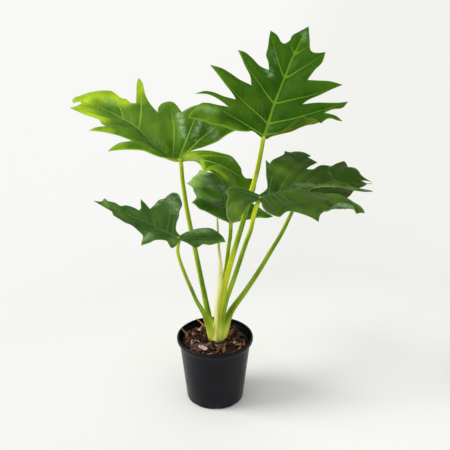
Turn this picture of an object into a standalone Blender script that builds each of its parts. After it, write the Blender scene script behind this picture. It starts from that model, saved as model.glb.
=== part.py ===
"""A potted lacy tree philodendron: black nursery pot, bark soil, crown, six lobed leaves.

The origin is the centre of the pot's base, +Z is up, and the viewer stands on the -Y side.
"""
import bpy
import bmesh
import numpy as np
from mathutils import Matrix, Vector
from mathutils.bvhtree import BVHTree
from mathutils.geometry import delaunay_2d_cdt

MM = 0.001
GAP = 0.3 * MM

# Pot
POT_HEIGHT = 110 * MM
POT_BODY_HEIGHT = 99 * MM
POT_BASE_RADIUS = 44.5 * MM
POT_TOP_RADIUS = 55.6 * MM
POT_WALL = 1.6 * MM
POT_FLOOR = 2 * MM
POT_CORNER = 2.6 * MM
POT_SIDES = 40
LIP_RADIUS = 60 * MM
LIP_INSIDE_RADIUS = 56.8 * MM
LIP_INSIDE_FOOT = 104.5 * MM
LIP_EDGE = 0.8 * MM

# The rim's outer side, as radius and height in millimetres, from its rounded edge down to the body
LIP_OUTSIDE = [(60, 105), (59.6, 103.6), (58.2, 102), (56.6, 100.5)]

DRAIN_SLOTS = 8
DRAIN_SIZE = (8 * MM, 12 * MM, 5 * MM)
DRAIN_FIRST_ANGLE = -88

# Soil
SOIL_EDGE_HEIGHT = 99 * MM
SOIL_CLEARANCE = 0.5 * MM
SOIL_DOME = 6 * MM
SOIL_RINGS = 8
SOIL_BUMPS = 90
SOIL_BUMP_SIZE = (3.5 * MM, 7 * MM)
SOIL_BUMP_RISE = (0.6 * MM, 2.6 * MM)
SOIL_CALM_EDGE = 0.12
SOIL_SEED = 7
CROWN_PLACE = (3 * MM, 2 * MM)
CROWN_PROFILE = [(0, 126), (6, 124), (10, 117), (12.5, 108), (12.5, 96), (9, 84), (4, 76), (0, 76)]
CROWN_SIDES = 16
HOLE_RADIUS = 12.9 * MM
HOLE_FLOOR = 74 * MM

# Leaf stalks are cut from the crown at this height
SPLIT_HEIGHT = 158 * MM
STALK_STEP = 15 * MM
STUB_LENGTH = 9 * MM
STRAIGHT_END = 2 * MM

# Blades
BLADE_THICKNESS = 0.8 * MM
EDGE_STEP = 11
INNER_STEP = 18
RIB_STEP = 17
RIB_START = 6
RIB_END = 0.88
RIB_TIP_RADIUS = 0.7 * MM
WAVE_LENGTH = 62
WAVE_SHIFT = 1.7
BEND_STEPS = 40

LEAF_GREEN = (0.055, 0.16, 0.018)
STALK_GREEN = (0.30, 0.42, 0.05)
CREAM = (0.72, 0.68, 0.36)
SOIL_BROWN = (0.05, 0.028, 0.017)
POT_BLACK = (0.018, 0.018, 0.02)

# Each blade is drawn flat, in millimetres: across to the right of the midrib, and along it to the
# tip. The stalk joins it at 0, 0. "tip" is a pointed lobe end and "gap" the notch between two lobes.
# place is the joint in space; heading, rise and roll turn the blade in degrees; arch bends it down
# to the tip; fold and curl raise its two halves; folds are margins that are turned over.
LEAVES = {
    "a": dict(
        place=(73, 45, 424), heading=62, rise=40, roll=22, length=205, half=110, back=80,
        arch=-4, back_arch=0, fold_l=10, fold_r=10, curl_l=-8, curl_r=-8, wave=1.5, phase=0.4,
        rib=[(0, -60), (0, 0), (-5, 60), (-6, 140), (-2, 203)],
        folds=[dict(start=(2, 4), end=(72, 58), turn=150, radius=3, fade=12)],
        outline=[
            (0, 0, "gap"), (-10, 3), (-20, 5), (-28, 0), (-46, -6), (-64, -7), (-81, -11), (-95, -11),
            (-116, -15, "tip"), (-115, -4), (-108, 13), (-98, 19), (-83, 22), (-67, 26, "gap"),
            (-85, 31), (-102, 32), (-121, 25, "tip"), (-109, 35), (-96, 39), (-80, 39), (-61, 42, "gap"),
            (-69, 49), (-85, 59), (-102, 70), (-118, 79, "tip"), (-100, 81), (-85, 79), (-67, 75),
            (-48, 74, "gap"), (-55, 87), (-67, 98), (-78, 110), (-88, 120, "tip"), (-76, 121),
            (-62, 116), (-47, 109), (-32, 109, "gap"), (-38, 121), (-45, 130), (-47, 143), (-51, 159),
            (-53, 171, "tip"), (-41, 168), (-31, 160), (-25, 160, "gap"), (-20, 168), (-19, 178),
            (-12, 188), (-1, 203, "tip"), (8, 183), (16, 165), (26, 163), (39, 169, "tip"), (40, 150),
            (34, 135), (29, 115, "gap"), (44, 119), (62, 124), (82, 125, "tip"), (67, 110), (55, 97),
            (42, 84), (36, 74, "gap"), (56, 84), (83, 94), (99, 102, "tip"), (94, 89), (82, 82),
            (72, 72, "gap"), (88, 73), (102, 68, "tip"), (94, 66), (84, 66), (78, 62), (74, 55), (72, 47),
            (70, 39), (65, 32), (64, 24, "tip"), (50, 19), (36, 15), (22, 9), (11, 4)]),
    "b": dict(
        place=(-52, 75, 377.5), heading=143, rise=20, roll=0, length=230, half=100, back=90,
        arch=14, back_arch=55, fold_l=8, fold_r=28, curl_l=-14, curl_r=-16, wave=1.5, phase=2.0,
        rib=[(0, -60), (0, 0), (-11, 20), (-12, 36), (-3, 64), (7, 92), (12, 116), (11, 160), (2, 215)],
        folds=[dict(start=(9, -24), end=(50, -86), turn=140, radius=3, fade=14)],
        outline=[
            (-1, -3, "gap"), (-9, 7), (-22, 17), (-31, 31), (-38, 47), (-57, 60), (-74, 68),
            (-88, 74, "tip"), (-75, 78), (-54, 80), (-33, 74, "gap"), (-40, 97), (-52, 117),
            (-68, 133, "tip"), (-51, 133), (-35, 127, "gap"), (-35, 137), (-28, 150), (-33, 174),
            (-35, 205, "tip"), (-18, 205), (-3, 209, "gap"), (1, 217), (-13, 217, "tip"), (-7, 226),
            (4, 232), (12, 226), (26, 216), (38, 204), (47, 190), (47, 180), (44, 165), (47, 156),
            (45, 145), (49, 137, "gap"), (65, 150), (82, 164), (98, 174, "tip"), (92, 160), (81, 147),
            (70, 133), (58, 111), (52, 94, "gap"), (60, 100), (72, 102), (84, 94), (84, 83),
            (75, 64, "gap"), (88, 63), (100, 60), (112, 52), (114, 30), (112, 6), (110, -15, "tip"),
            (86, -13), (66, -13), (44, -8), (31, -3), (21, 1, "gap"), (34, -8), (45, -17), (58, -29),
            (68, -38), (71, -48), (72, -57, "tip"), (69, -64), (72, -70), (82, -74), (85, -82),
            (78, -91, "tip"), (62, -93), (44, -89), (28, -81), (14, -69), (7, -56), (6, -45), (13, -35),
            (16, -26), (15, -18), (9, -11)]),
    "c": dict(
        place=(-50, -60, 311), heading=150, rise=8, roll=0, length=156, half=80, back=80,
        arch=0, back_arch=10, fold_l=0, fold_r=16, curl_l=-10, curl_r=-8, wave=1.5, phase=1.0,
        rib=[(0, -60), (0, 0), (2, 27), (5, 56), (5, 110), (5, 156)],
        outline=[
            (-5, -4, "gap"), (-13, -6), (-23, -7), (-30, -5), (-25, 3), (-19, 12), (-27, 24), (-38, 27),
            (-51, 33, "tip"), (-43, 38), (-34, 42), (-27, 48), (-21, 61), (-16, 74), (-16, 86),
            (-13, 99), (-10, 111), (-3, 119), (0, 133), (3, 147), (5, 158, "tip"), (10, 147), (18, 147),
            (16, 139), (18, 127), (16, 116), (21, 110), (23, 100), (22, 86, "gap"), (28, 87), (36, 93),
            (45, 99, "tip"), (42, 91), (37, 81), (33, 74, "gap"), (44, 74), (58, 75), (66, 70),
            (76, 70), (86, 68, "tip"), (86, 59), (78, 49), (66, 38), (51, 33), (40, 27), (26, 22),
            (12, 14), (5, 3, "gap"), (15, -1), (25, -7), (34, -15), (42, -26), (42, -38), (38, -50),
            (31, -59, "tip"), (25, -53), (17, -48), (11, -43), (7, -35), (-8, -32, "tip"), (-6, -24),
            (-4, -14)]),
    "d": dict(
        place=(25, 70, 272), heading=100, rise=12, roll=0, length=175, half=90, back=60,
        arch=10, back_arch=0, fold_l=10, fold_r=10, curl_l=-12, curl_r=-12, wave=1.5, phase=0.0,
        rib=[(0, -60), (0, 0), (1, 50), (7, 110), (12, 178)],
        outline=[
            (0, 0, "gap"), (-8, 6), (-15, 11), (-23, 18), (-36, 31), (-45, 38), (-49, 49),
            (-54, 58, "tip"), (-48, 65), (-44, 75), (-46, 90), (-46, 103), (-53, 118, "tip"),
            (-45, 127), (-40, 138), (-31, 149), (-24, 166, "tip"), (-14, 160), (-5, 156, "gap"),
            (0, 168), (12, 182, "tip"), (16, 165), (20, 150, "gap"), (28, 149), (38, 148, "tip"),
            (35, 136), (32, 122, "gap"), (40, 116), (47, 108, "tip"), (43, 94), (38, 82, "gap"),
            (46, 76), (54, 66, "tip"), (48, 55), (42, 45, "gap"), (51, 32), (58, 18), (68, 1, "tip"),
            (58, -1), (44, 3), (31, 2), (15, 2)]),
    "e": dict(
        place=(67, -30, 361.5), heading=20, rise=4, roll=0, length=190, half=90, back=80,
        arch=20, back_arch=15, fold_l=30, fold_r=4, curl_l=-20, curl_r=-20, wave=1.5, phase=2.6,
        rib=[(0, -60), (0, 0), (-6, 26), (-15, 70), (-20, 108), (-14, 149), (-2, 185)],
        folds=[dict(start=(62, 72), end=(63, 126), turn=130, radius=3, fade=12)],
        outline=[
            (-6, 1, "gap"), (-12, 12), (-20, 19), (-42, 25), (-62, 32), (-79, 38, "tip"),
            (-68, 40, "gap"), (-76, 48), (-81, 60), (-86, 69), (-94, 73, "tip"), (-92, 82), (-96, 90),
            (-97, 99), (-93, 106), (-83, 112, "tip"), (-81, 106, "gap"), (-66, 116, "tip"), (-59, 102),
            (-52, 93, "gap"), (-52, 104), (-59, 118), (-57, 133, "tip"), (-49, 128), (-40, 129),
            (-29, 128, "gap"), (-21, 146), (-12, 158), (-9, 168), (-3, 188, "tip"), (4, 170), (2, 152),
            (-9, 134), (-14, 112), (-8, 89), (5, 75, "gap"), (12, 94), (19, 112), (30, 127), (40, 132),
            (50, 138), (60, 140), (69, 139, "tip"), (68, 130), (73, 120), (77, 107), (76, 94), (69, 83),
            (62, 76, "gap"), (69, 66), (84, 57, "tip"), (75, 50), (64, 37), (58, 30), (54, 20),
            (63, 5, "tip"), (57, -2), (45, -8), (29, -8), (18, -5), (8, -6, "gap"), (12, -20),
            (22, -30), (38, -44), (44, -54), (42, -62, "tip"), (28, -62), (10, -57), (-5, -51),
            (-17, -43), (-27, -41), (-33, -31), (-24, -17), (-14, -7)]),
    "f": dict(
        place=(128.5, 50, 325), heading=36, rise=8, roll=0, length=130, half=80, back=60,
        arch=10, back_arch=0, fold_l=20, fold_r=6, curl_l=-12, curl_r=-12, wave=1.0, phase=1.6,
        rib=[(0, -60), (0, 0), (-2, 40), (8, 85), (34, 116)],
        outline=[
            (0, 0, "gap"), (-14, 4), (-30, 6), (-46, 2), (-58, -6, "tip"), (-60, 8), (-54, 20),
            (-44, 26, "gap"), (-54, 34), (-66, 38, "tip"), (-60, 50), (-48, 56), (-38, 62, "gap"),
            (-39, 76), (-33, 92), (-33, 104), (-31, 117, "tip"), (-25, 116), (-15, 112, "gap"),
            (-7, 120), (2, 120), (12, 117), (22, 118), (32, 122, "tip"), (21, 109, "gap"),
            (33, 113, "tip"), (39, 102), (41, 91), (43, 76), (51, 62), (56, 50, "tip"), (50, 38),
            (44, 24, "gap"), (54, 14), (62, 0, "tip"), (48, -2), (32, 2), (16, 4)]),
}

# Stalk routes from the crown to the blade, in millimetres, with the radius at the foot, a quarter
# of the way up and at the top
STALKS = {
    "a": dict(girth=(4.8, 4.7, 3.3), route=[
        (4, 2, 100), (6, 5, 122), (8, 7, 147), (14, 12, 185), (21.5, 16, 218), (30.3, 20, 251),
        (39.7, 24, 284), (48, 28, 315), (54, 31, 339), (61, 34, 363), (66, 38, 385), (73, 45, 424)]),
    "b": dict(girth=(4.4, 4.0, 3.1), route=[
        (0, 2, 100), (-6, 9, 122), (-12, 17, 147), (-18.2, 25, 178), (-23, 31, 202), (-31.5, 42, 244),
        (-37.8, 50, 274), (-43.4, 58, 302), (-46.8, 64, 324), (-50, 70, 347), (-52, 75, 377.5)]),
    "c": dict(girth=(4.6, 3.2, 2.3), route=[
        (0, 0, 100), (-6, -4, 118), (-12, -12, 142), (-18, -18, 163), (-28.3, -27, 189), (-34.7, -34, 211),
        (-40.9, -41, 232), (-46.2, -48, 252), (-51, -54, 272), (-53.6, -58, 291), (-50, -60, 311)]),
    "d": dict(girth=(3.6, 3.3, 3.1), route=[
        (3, 4, 100), (5, 12, 125), (8.3, 22, 153), (11.6, 31, 175), (15, 40, 197), (18, 46, 212),
        (20, 52, 226), (21.9, 58, 241), (24.2, 64, 255), (25, 70, 272)]),
    "e": dict(girth=(4.8, 4.2, 3.4), route=[
        (5, -1, 100), (9, -4, 122), (11.5, -7, 145), (17.5, -11, 180), (23, -13, 199), (28.6, -15, 218),
        (33.6, -17, 236), (43.3, -21, 272), (48.3, -23, 290), (53.4, -25, 307), (60, -28, 341),
        (67, -30, 361.5)]),
    "f": dict(girth=(6.2, 4.1, 2.6), route=[
        (6, 3, 100), (15, 6, 121), (23.3, 11, 143), (29.4, 13, 154), (38.8, 16, 167), (48.3, 19, 180),
        (68.1, 26, 210), (86.4, 33, 241), (103, 38, 270), (119, 45, 304), (128.5, 50, 325)]),
}

# The cream sheath and the rolled young leaf that rises out of it
SHEATH = dict(girth=(3.2, 4.2, 2.9), route=[
    (1, -4, 100), (2, -3, 136), (3, 0, 166), (7, 6, 193), (8.3, 11, 212), (8.7, 16, 229.5)])
YOUNG_LEAF = dict(girth=(2.5, 1.9, 1.0), route=[
    (8.7, 16, 229.5), (6.5, 22, 249), (5.2, 28, 269), (4.3, 34, 286), (3.9, 38, 295.5)])

# Loose pieces on the soil: centre, length, width, height (mm), turn and lift of the left end in
# degrees, colour, seed
BARK = {
    "bark_chunk": ((-23, -29.5), (33, 17, 9), -14, 0, (0.16, 0.075, 0.045), 3),
    "bark_curl": ((26, 9), (20, 9, 7), 60, 0, (0.30, 0.13, 0.045), 5),
    "bark_chip": ((31, -14), (9, 6, 4), 70, 0, (0.55, 0.38, 0.30), 8),
    "twig_back": ((-22.5, 41), (21, 3.4, 3.2), -31, 30, (0.12, 0.06, 0.035), 11),
    "twig_left": ((-47.5, 13.5), (18, 3.2, 3), -41, 30, (0.10, 0.05, 0.03), 13),
}


def clear_scene():
    for obj in list(bpy.data.objects):
        bpy.data.objects.remove(obj, do_unlink=True)


def make_collection(name):
    collection = bpy.data.collections.new(name)
    bpy.context.scene.collection.children.link(collection)
    return collection


def make_material(name, colour, roughness):
    material = bpy.data.materials.new(name)
    material.use_nodes = True
    shader = material.node_tree.nodes["Principled BSDF"]
    shader.inputs["Base Color"].default_value = (*colour, 1.0)
    shader.inputs["Roughness"].default_value = roughness
    shader.inputs["Metallic"].default_value = 0.0
    material.diffuse_color = (*colour, 1.0)
    return material


def add_object(name, data, collection, material=None):
    obj = bpy.data.objects.new(name, data)
    collection.objects.link(obj)
    if material is not None:
        data.materials.append(material)
    return obj


def mesh_object(name, vertices, faces, collection, material=None):
    mesh = bpy.data.meshes.new(name)
    mesh.from_pydata([tuple(v) for v in vertices], [], faces)
    mesh.update()
    return add_object(name, mesh, collection, material)


def hide_cutter(obj):
    obj.hide_render = True
    obj.display_type = "WIRE"


def smooth_route(points, step):
    """Points at even steps along a Catmull-Rom curve through the given ones."""
    points = np.asarray(points, float)
    before = 2 * points[0] - points[1]
    after = 2 * points[-1] - points[-2]
    p = np.vstack([before, points, after])
    t = np.linspace(0, 1, 12, endpoint=False)[:, None]
    fine = []
    for i in range(1, len(p) - 2):
        a, b, c, d = p[i - 1], p[i], p[i + 1], p[i + 2]
        fine.append(0.5 * (2 * b + (c - a) * t + (2 * a - 5 * b + 4 * c - d) * t ** 2
                           + (3 * b - a - 3 * c + d) * t ** 3))
    fine = np.vstack(fine + [points[-1:]])
    run = np.concatenate([[0], np.cumsum(np.linalg.norm(np.diff(fine, axis=0), axis=1))])
    count = max(2, int(round(run[-1] / step)) + 1)
    even = np.linspace(0, run[-1], count)
    return np.stack([np.interp(even, run, fine[:, k]) for k in range(points.shape[1])], axis=1)


def tube_curve(name, points, radii, collection, material=None, resolution=2):
    """A tube with filled caps through the points, as a curve object."""
    curve = bpy.data.curves.new(name, "CURVE")
    curve.dimensions = "3D"
    curve.bevel_depth = 1.0
    curve.bevel_resolution = resolution
    curve.use_fill_caps = True
    spline = curve.splines.new("POLY")
    spline.points.add(len(points) - 1)
    for i, (point, radius) in enumerate(zip(points, radii)):
        spline.points[i].co = (*point, 1.0)
        spline.points[i].radius = radius
    return add_object(name, curve, collection, material)


def curve_to_mesh(obj, collection):
    """Turn a curve object into a mesh object with its caps welded on."""
    evaluated = obj.evaluated_get(bpy.context.evaluated_depsgraph_get())
    mesh = bpy.data.meshes.new_from_object(evaluated)
    work = bmesh.new()
    work.from_mesh(mesh)
    bmesh.ops.remove_doubles(work, verts=work.verts, dist=1e-6)
    work.to_mesh(mesh)
    work.free()
    solid = bpy.data.objects.new(obj.name, mesh)
    solid.matrix_world = obj.matrix_world
    collection.objects.link(solid)
    bpy.data.objects.remove(obj, do_unlink=True)
    return solid


def shade_round(obj, angle=40):
    obj.data.shade_smooth()
    obj.data.set_sharp_from_angle(angle=np.radians(angle))


def turned_solid(name, profile, sides, collection, material=None):
    mesh = bpy.data.meshes.new(name)
    vertices = [(r, 0.0, z) for r, z in profile]
    mesh.from_pydata(vertices, [(i, i + 1) for i in range(len(vertices) - 1)], [])
    obj = add_object(name, mesh, collection, material)
    screw = obj.modifiers.new("turn", "SCREW")
    screw.steps = sides
    screw.render_steps = sides
    screw.use_merge_vertices = True
    screw.merge_threshold = 0.00005
    screw.use_smooth_shade = True
    return obj


def pot_radius(height):
    """Outer radius of the pot's body."""
    share = min(height / POT_BODY_HEIGHT, 1.0)
    return POT_BASE_RADIUS + (POT_TOP_RADIUS - POT_BASE_RADIUS) * share


def make_pot(parts, cutters):
    profile = [
        (0, POT_FLOOR),
        (pot_radius(POT_FLOOR) - POT_WALL - POT_CORNER, POT_FLOOR),
        (pot_radius(POT_CORNER) - POT_WALL, POT_FLOOR + POT_CORNER),
        (POT_TOP_RADIUS - POT_WALL, POT_BODY_HEIGHT),
        (LIP_INSIDE_RADIUS, LIP_INSIDE_FOOT),
        (LIP_INSIDE_RADIUS, POT_HEIGHT - LIP_EDGE),
        (LIP_INSIDE_RADIUS + LIP_EDGE, POT_HEIGHT),
        (LIP_RADIUS - LIP_EDGE, POT_HEIGHT),
        (LIP_RADIUS, POT_HEIGHT - LIP_EDGE),
        *[(r * MM, z * MM) for r, z in LIP_OUTSIDE],
        (POT_TOP_RADIUS, POT_BODY_HEIGHT),
        (pot_radius(POT_CORNER), POT_CORNER),
        (pot_radius(0) - 0.3 * POT_CORNER, 0.3 * POT_CORNER),
        (pot_radius(0) - POT_CORNER, 0),
        (0, 0),
    ]
    material = make_material("pot plastic", POT_BLACK, 0.45)
    pot = turned_solid("pot", profile, POT_SIDES, parts, material)
    slots = bmesh.new()
    for i in range(DRAIN_SLOTS):
        made = bmesh.ops.create_cube(slots, size=1.0)["verts"]
        bmesh.ops.scale(slots, verts=made, vec=DRAIN_SIZE)
        bmesh.ops.translate(slots, verts=made, vec=(POT_BASE_RADIUS, 0, 0))
        angle = np.radians(DRAIN_FIRST_ANGLE + i * 360 / DRAIN_SLOTS)
        bmesh.ops.rotate(slots, verts=made, cent=(0, 0, 0), matrix=Matrix.Rotation(angle, 3, "Z"))
    mesh = bpy.data.meshes.new("drain slots")
    slots.to_mesh(mesh)
    slots.free()
    cutter = add_object("drain slots", mesh, cutters)
    hide_cutter(cutter)
    cut = pot.modifiers.new("drain", "BOOLEAN")
    cut.operation = "DIFFERENCE"
    cut.solver = "EXACT"
    cut.object = cutter
    return pot


def soil_bumps():
    random = np.random.default_rng(SOIL_SEED)
    reach = POT_TOP_RADIUS
    bumps = []
    for _ in range(SOIL_BUMPS):
        angle = random.uniform(0, 2 * np.pi)
        distance = reach * np.sqrt(random.uniform(0.07, 0.85))
        place = np.array([distance * np.cos(angle), distance * np.sin(angle)])
        size = random.uniform(*SOIL_BUMP_SIZE)
        height = random.uniform(*SOIL_BUMP_RISE)
        if min(np.hypot(*(place - np.array(b[0]) * MM)) - 0.5 * b[1][0] * MM for b in BARK.values()) > 0:
            bumps.append((place, size, height))
    return bumps


def soil_height(x, y, bumps):
    distance = np.hypot(x, y) / POT_TOP_RADIUS
    height = SOIL_EDGE_HEIGHT + SOIL_DOME * (1 - distance ** 2)
    fade = np.clip((1.0 - distance) / SOIL_CALM_EDGE, 0, 1)
    for place, size, rise in bumps:
        off = ((x - place[0]) ** 2 + (y - place[1]) ** 2) / size ** 2
        height = height + fade * rise * np.exp(-2 * off)
    return height


def make_soil(parts, bumps):
    """The soil fills the pot, with a plain round hole for the crown."""
    sides = POT_SIDES
    angles = np.arange(sides) * 2 * np.pi / sides
    ring = np.stack([np.cos(angles), np.sin(angles)], axis=1)
    inset = POT_WALL + SOIL_CLEARANCE
    centre = np.array(CROWN_PLACE)
    wall_radius = pot_radius(SOIL_EDGE_HEIGHT) - inset
    vertices = []
    loops = []

    def add_loop(points, heights):
        start = len(vertices)
        vertices.extend((p[0], p[1], h) for p, h in zip(points, heights))
        loops.append(range(start, start + sides))

    floor = POT_FLOOR + POT_CORNER + GAP
    hole = centre + ring * HOLE_RADIUS
    add_loop(ring * (pot_radius(floor) - inset), np.full(sides, floor))
    add_loop(ring * wall_radius, np.full(sides, SOIL_EDGE_HEIGHT))
    for i in range(1, SOIL_RINGS + 1):
        share = i / SOIL_RINGS
        points = ring * wall_radius * (1 - share) + hole * share
        add_loop(points, soil_height(points[:, 0], points[:, 1], bumps))
    add_loop(hole, np.full(sides, HOLE_FLOOR))
    faces = []
    for low, high in zip(loops[:-1], loops[1:]):
        for i in range(sides):
            j = (i + 1) % sides
            faces.append((low[i], low[j], high[j]))
            faces.append((low[i], high[j], high[i]))
    bottom = len(vertices)
    vertices.append((0, 0, floor))
    cup = len(vertices)
    vertices.append((centre[0], centre[1], HOLE_FLOOR))
    for i in range(sides):
        j = (i + 1) % sides
        faces.append((loops[0][j], loops[0][i], bottom))
        faces.append((loops[-1][i], loops[-1][j], cup))
    material = make_material("soil", SOIL_BROWN, 0.95)
    return mesh_object("soil", vertices, faces, parts, material)


def settle(vertices, faces, soil):
    """Lower a piece that is above the soil until it nearly touches it."""
    ground_points = [v.co.copy() for v in soil.data.vertices]
    ground = BVHTree.FromPolygons(ground_points, [tuple(f.vertices) for f in soil.data.polygons])
    piece = BVHTree.FromPolygons(vertices, faces)
    down = Vector((0, 0, -1))
    clear = []
    for face in faces:
        for i, j in zip(face, face[1:] + face[:1]):
            for share in (0, 1 / 3, 2 / 3):
                point = Vector(vertices[i]).lerp(Vector(vertices[j]), share)
                hit = ground.ray_cast(point, down)[0]
                if hit is not None:
                    clear.append(point.z - hit.z)
    for point in ground_points:
        hit = piece.ray_cast(point, -down)[0]
        if hit is not None:
            clear.append(hit.z - point.z)
    drop = min(clear) - GAP
    return [(x, y, z - drop) for x, y, z in vertices]


def make_bark(name, parts, soil):
    """A rough split piece of bark or twig lying on the soil."""
    (x, y), (length, width, height), turn, lift, colour, seed = BARK[name]
    random = np.random.default_rng(seed)
    columns = 7
    sides = 6
    angle = np.radians(turn)
    forward = np.array([np.cos(angle), np.sin(angle)])
    side = np.array([-np.sin(angle), np.cos(angle)])
    centre = np.array([x, y]) * MM
    reach = 0.5 * length * np.cos(np.radians(lift))
    rise = 0.5 * length * np.sin(np.radians(lift))
    vertices = []
    for i in range(columns):
        share = 2 * i / (columns - 1) - 1
        swell = (1 - 0.55 * abs(share) ** 3) * random.uniform(0.85, 1.0)
        bow = 0.12 * width * np.sin(2.2 * share + seed)
        for k in range(sides):
            around = 2 * np.pi * (k + 0.5) / sides
            out = 0.5 * width * np.cos(around) * swell * random.uniform(0.85, 1.0) + bow
            up = 0.5 * height * max(1 + np.sin(around) * 1.15 * swell, 0.0) * random.uniform(0.9, 1.0)
            up = 0.0 if np.sin(around) < -0.4 else up
            place = centre + forward * share * reach * MM + side * out * MM
            vertices.append((place[0], place[1], POT_HEIGHT + (up - share * rise) * MM))
    faces = []
    for i in range(columns - 1):
        for k in range(sides):
            j = (k + 1) % sides
            a, b = i * sides, (i + 1) * sides
            faces.append((a + k, a + j, b + j))
            faces.append((a + k, b + j, b + k))
    faces.append(tuple(reversed(range(sides))))
    faces.append(tuple(range((columns - 1) * sides, columns * sides)))
    vertices = settle(vertices, faces, soil)
    obj = mesh_object(name, vertices, faces, parts, make_material(name, colour, 0.9))
    orient_outwards(obj.data)
    return obj


def orient_outwards(mesh):
    work = bmesh.new()
    work.from_mesh(mesh)
    bmesh.ops.recalc_face_normals(work, faces=work.faces)
    work.to_mesh(mesh)
    work.free()


def stalk_points(stalk):
    """The smooth route and radii of a stalk, in metres, from the crown to its end."""
    points = smooth_route(np.array(stalk["route"], float) * MM, STALK_STEP)
    share = np.linspace(0, 1, len(points))
    radii = np.interp(share, [0, 0.25, 1], np.array(stalk["girth"]) * MM)
    return points, radii


def split_stalk(points, radii, height):
    """The parts below and above a height, whose facing ends are parallel and a gap apart."""
    i = int(np.argmax(points[:, 2] > height))
    share = (height - points[i - 1, 2]) / (points[i, 2] - points[i - 1, 2])
    cut = points[i - 1] + share * (points[i] - points[i - 1])
    radius = radii[i - 1] + share * (radii[i] - radii[i - 1])
    along = (points[i] - points[i - 1]) / np.linalg.norm(points[i] - points[i - 1])
    far = np.linalg.norm(points - cut, axis=1) > 2 * STRAIGHT_END
    below = far & (points[:, 2] < height)
    above = far & (points[:, 2] > height)
    lower = np.vstack([points[below], cut - along * STRAIGHT_END, cut])
    upper = np.vstack([cut + along * GAP, cut + along * (GAP + STRAIGHT_END), points[above]])
    ends = [radius, radius]
    return (lower, np.append(radii[below], ends)), (upper, np.append(ends, radii[above]))


def end_direction(points):
    return (points[-1] - points[-2]) / np.linalg.norm(points[-1] - points[-2])


def shorten_end(points, radii, length):
    """The stalk without its last stretch of this length, with a straight end."""
    along = end_direction(points)
    end = points[-1] - along * length
    keep = np.linalg.norm(points - end, axis=1) > 2 * STRAIGHT_END
    keep[-1] = False
    points = np.vstack([points[keep], end - along * STRAIGHT_END, end])
    return points, np.append(radii[keep], [radii[-1], radii[-1]])


def unite(base, others, collection):
    """Join closed meshes into the base with one Boolean union, and remove them."""
    group = bpy.data.collections.new("joined")
    bpy.context.scene.collection.children.link(group)
    for obj in others:
        collection.objects.unlink(obj)
        group.objects.link(obj)
    union = base.modifiers.new("union", "BOOLEAN")
    union.operation = "UNION"
    union.solver = "EXACT"
    union.operand_type = "COLLECTION"
    union.collection = group
    evaluated = base.evaluated_get(bpy.context.evaluated_depsgraph_get())
    mesh = bpy.data.meshes.new_from_object(evaluated)
    base.modifiers.clear()
    base.data = mesh
    for obj in list(others):
        bpy.data.objects.remove(obj, do_unlink=True)
    bpy.data.collections.remove(group)


def make_crown(parts, cutters):
    """The short stem in the soil with the feet of all stalks fused to it."""
    cx, cy = CROWN_PLACE
    profile = [(r * MM, z * MM) for r, z in CROWN_PROFILE]
    material = make_material("crown", STALK_GREEN, 0.5)
    crown = turned_solid("crown", profile, CROWN_SIDES, parts, material)
    crown.location = (cx, cy, 0)
    bpy.context.view_layer.update()
    feet = []
    for name, stalk in list(STALKS.items()) + [("sheath", SHEATH)]:
        lower, _ = split_stalk(*stalk_points(stalk), SPLIT_HEIGHT)
        foot = tube_curve("foot " + name, lower[0], lower[1], cutters)
        feet.append(curve_to_mesh(foot, cutters))
    unite(crown, feet, cutters)
    shade_round(crown, 50)
    return crown


def leaf_axes(leaf):
    """Directions of a blade in space: to its tip, to its right and out of its upper face."""
    heading, rise, roll = np.radians([leaf["heading"], leaf["rise"], leaf["roll"]])
    tip = np.array([np.cos(heading) * np.cos(rise), np.sin(heading) * np.cos(rise), np.sin(rise)])
    side = np.array([np.sin(heading), -np.cos(heading), 0.0])
    face = np.cross(side, tip)
    return (tip, side * np.cos(roll) - face * np.sin(roll), side * np.sin(roll) + face * np.cos(roll))


def rib_across(leaf, along):
    rib = np.array(leaf["rib"], float)
    return np.interp(along, rib[:, 1], rib[:, 0])


def fold_over(fold, across, along, lift):
    """Turn over what lies to the right of the fold line, round a small radius."""
    (a0, b0), (a1, b1) = fold["start"], fold["end"]
    length = np.hypot(a1 - a0, b1 - b0)
    da, db = (a1 - a0) / length, (b1 - b0) / length
    run = (across - a0) * da + (along - b0) * db
    past = (across - a0) * db - (along - b0) * da
    fade = np.clip(np.minimum(run, length - run) / fold["fade"], 0, 1)
    angle = np.maximum(np.radians(fold["turn"]) * fade * fade * (3 - 2 * fade), 1e-6)
    radius = fold["radius"]
    turn = np.clip(past, 0, radius * angle) / radius
    rest = np.clip(past - radius * angle, 0, None)
    folded = past > 0
    out = np.where(folded, radius * np.sin(turn) + rest * np.cos(turn) - lift * np.sin(turn), past)
    raised = radius * (1 - np.cos(turn)) + rest * np.sin(turn)
    lift = np.where(folded, lift * np.cos(turn) + raised, lift)
    return a0 + run * da + out * db, b0 + run * db - out * da, lift


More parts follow.
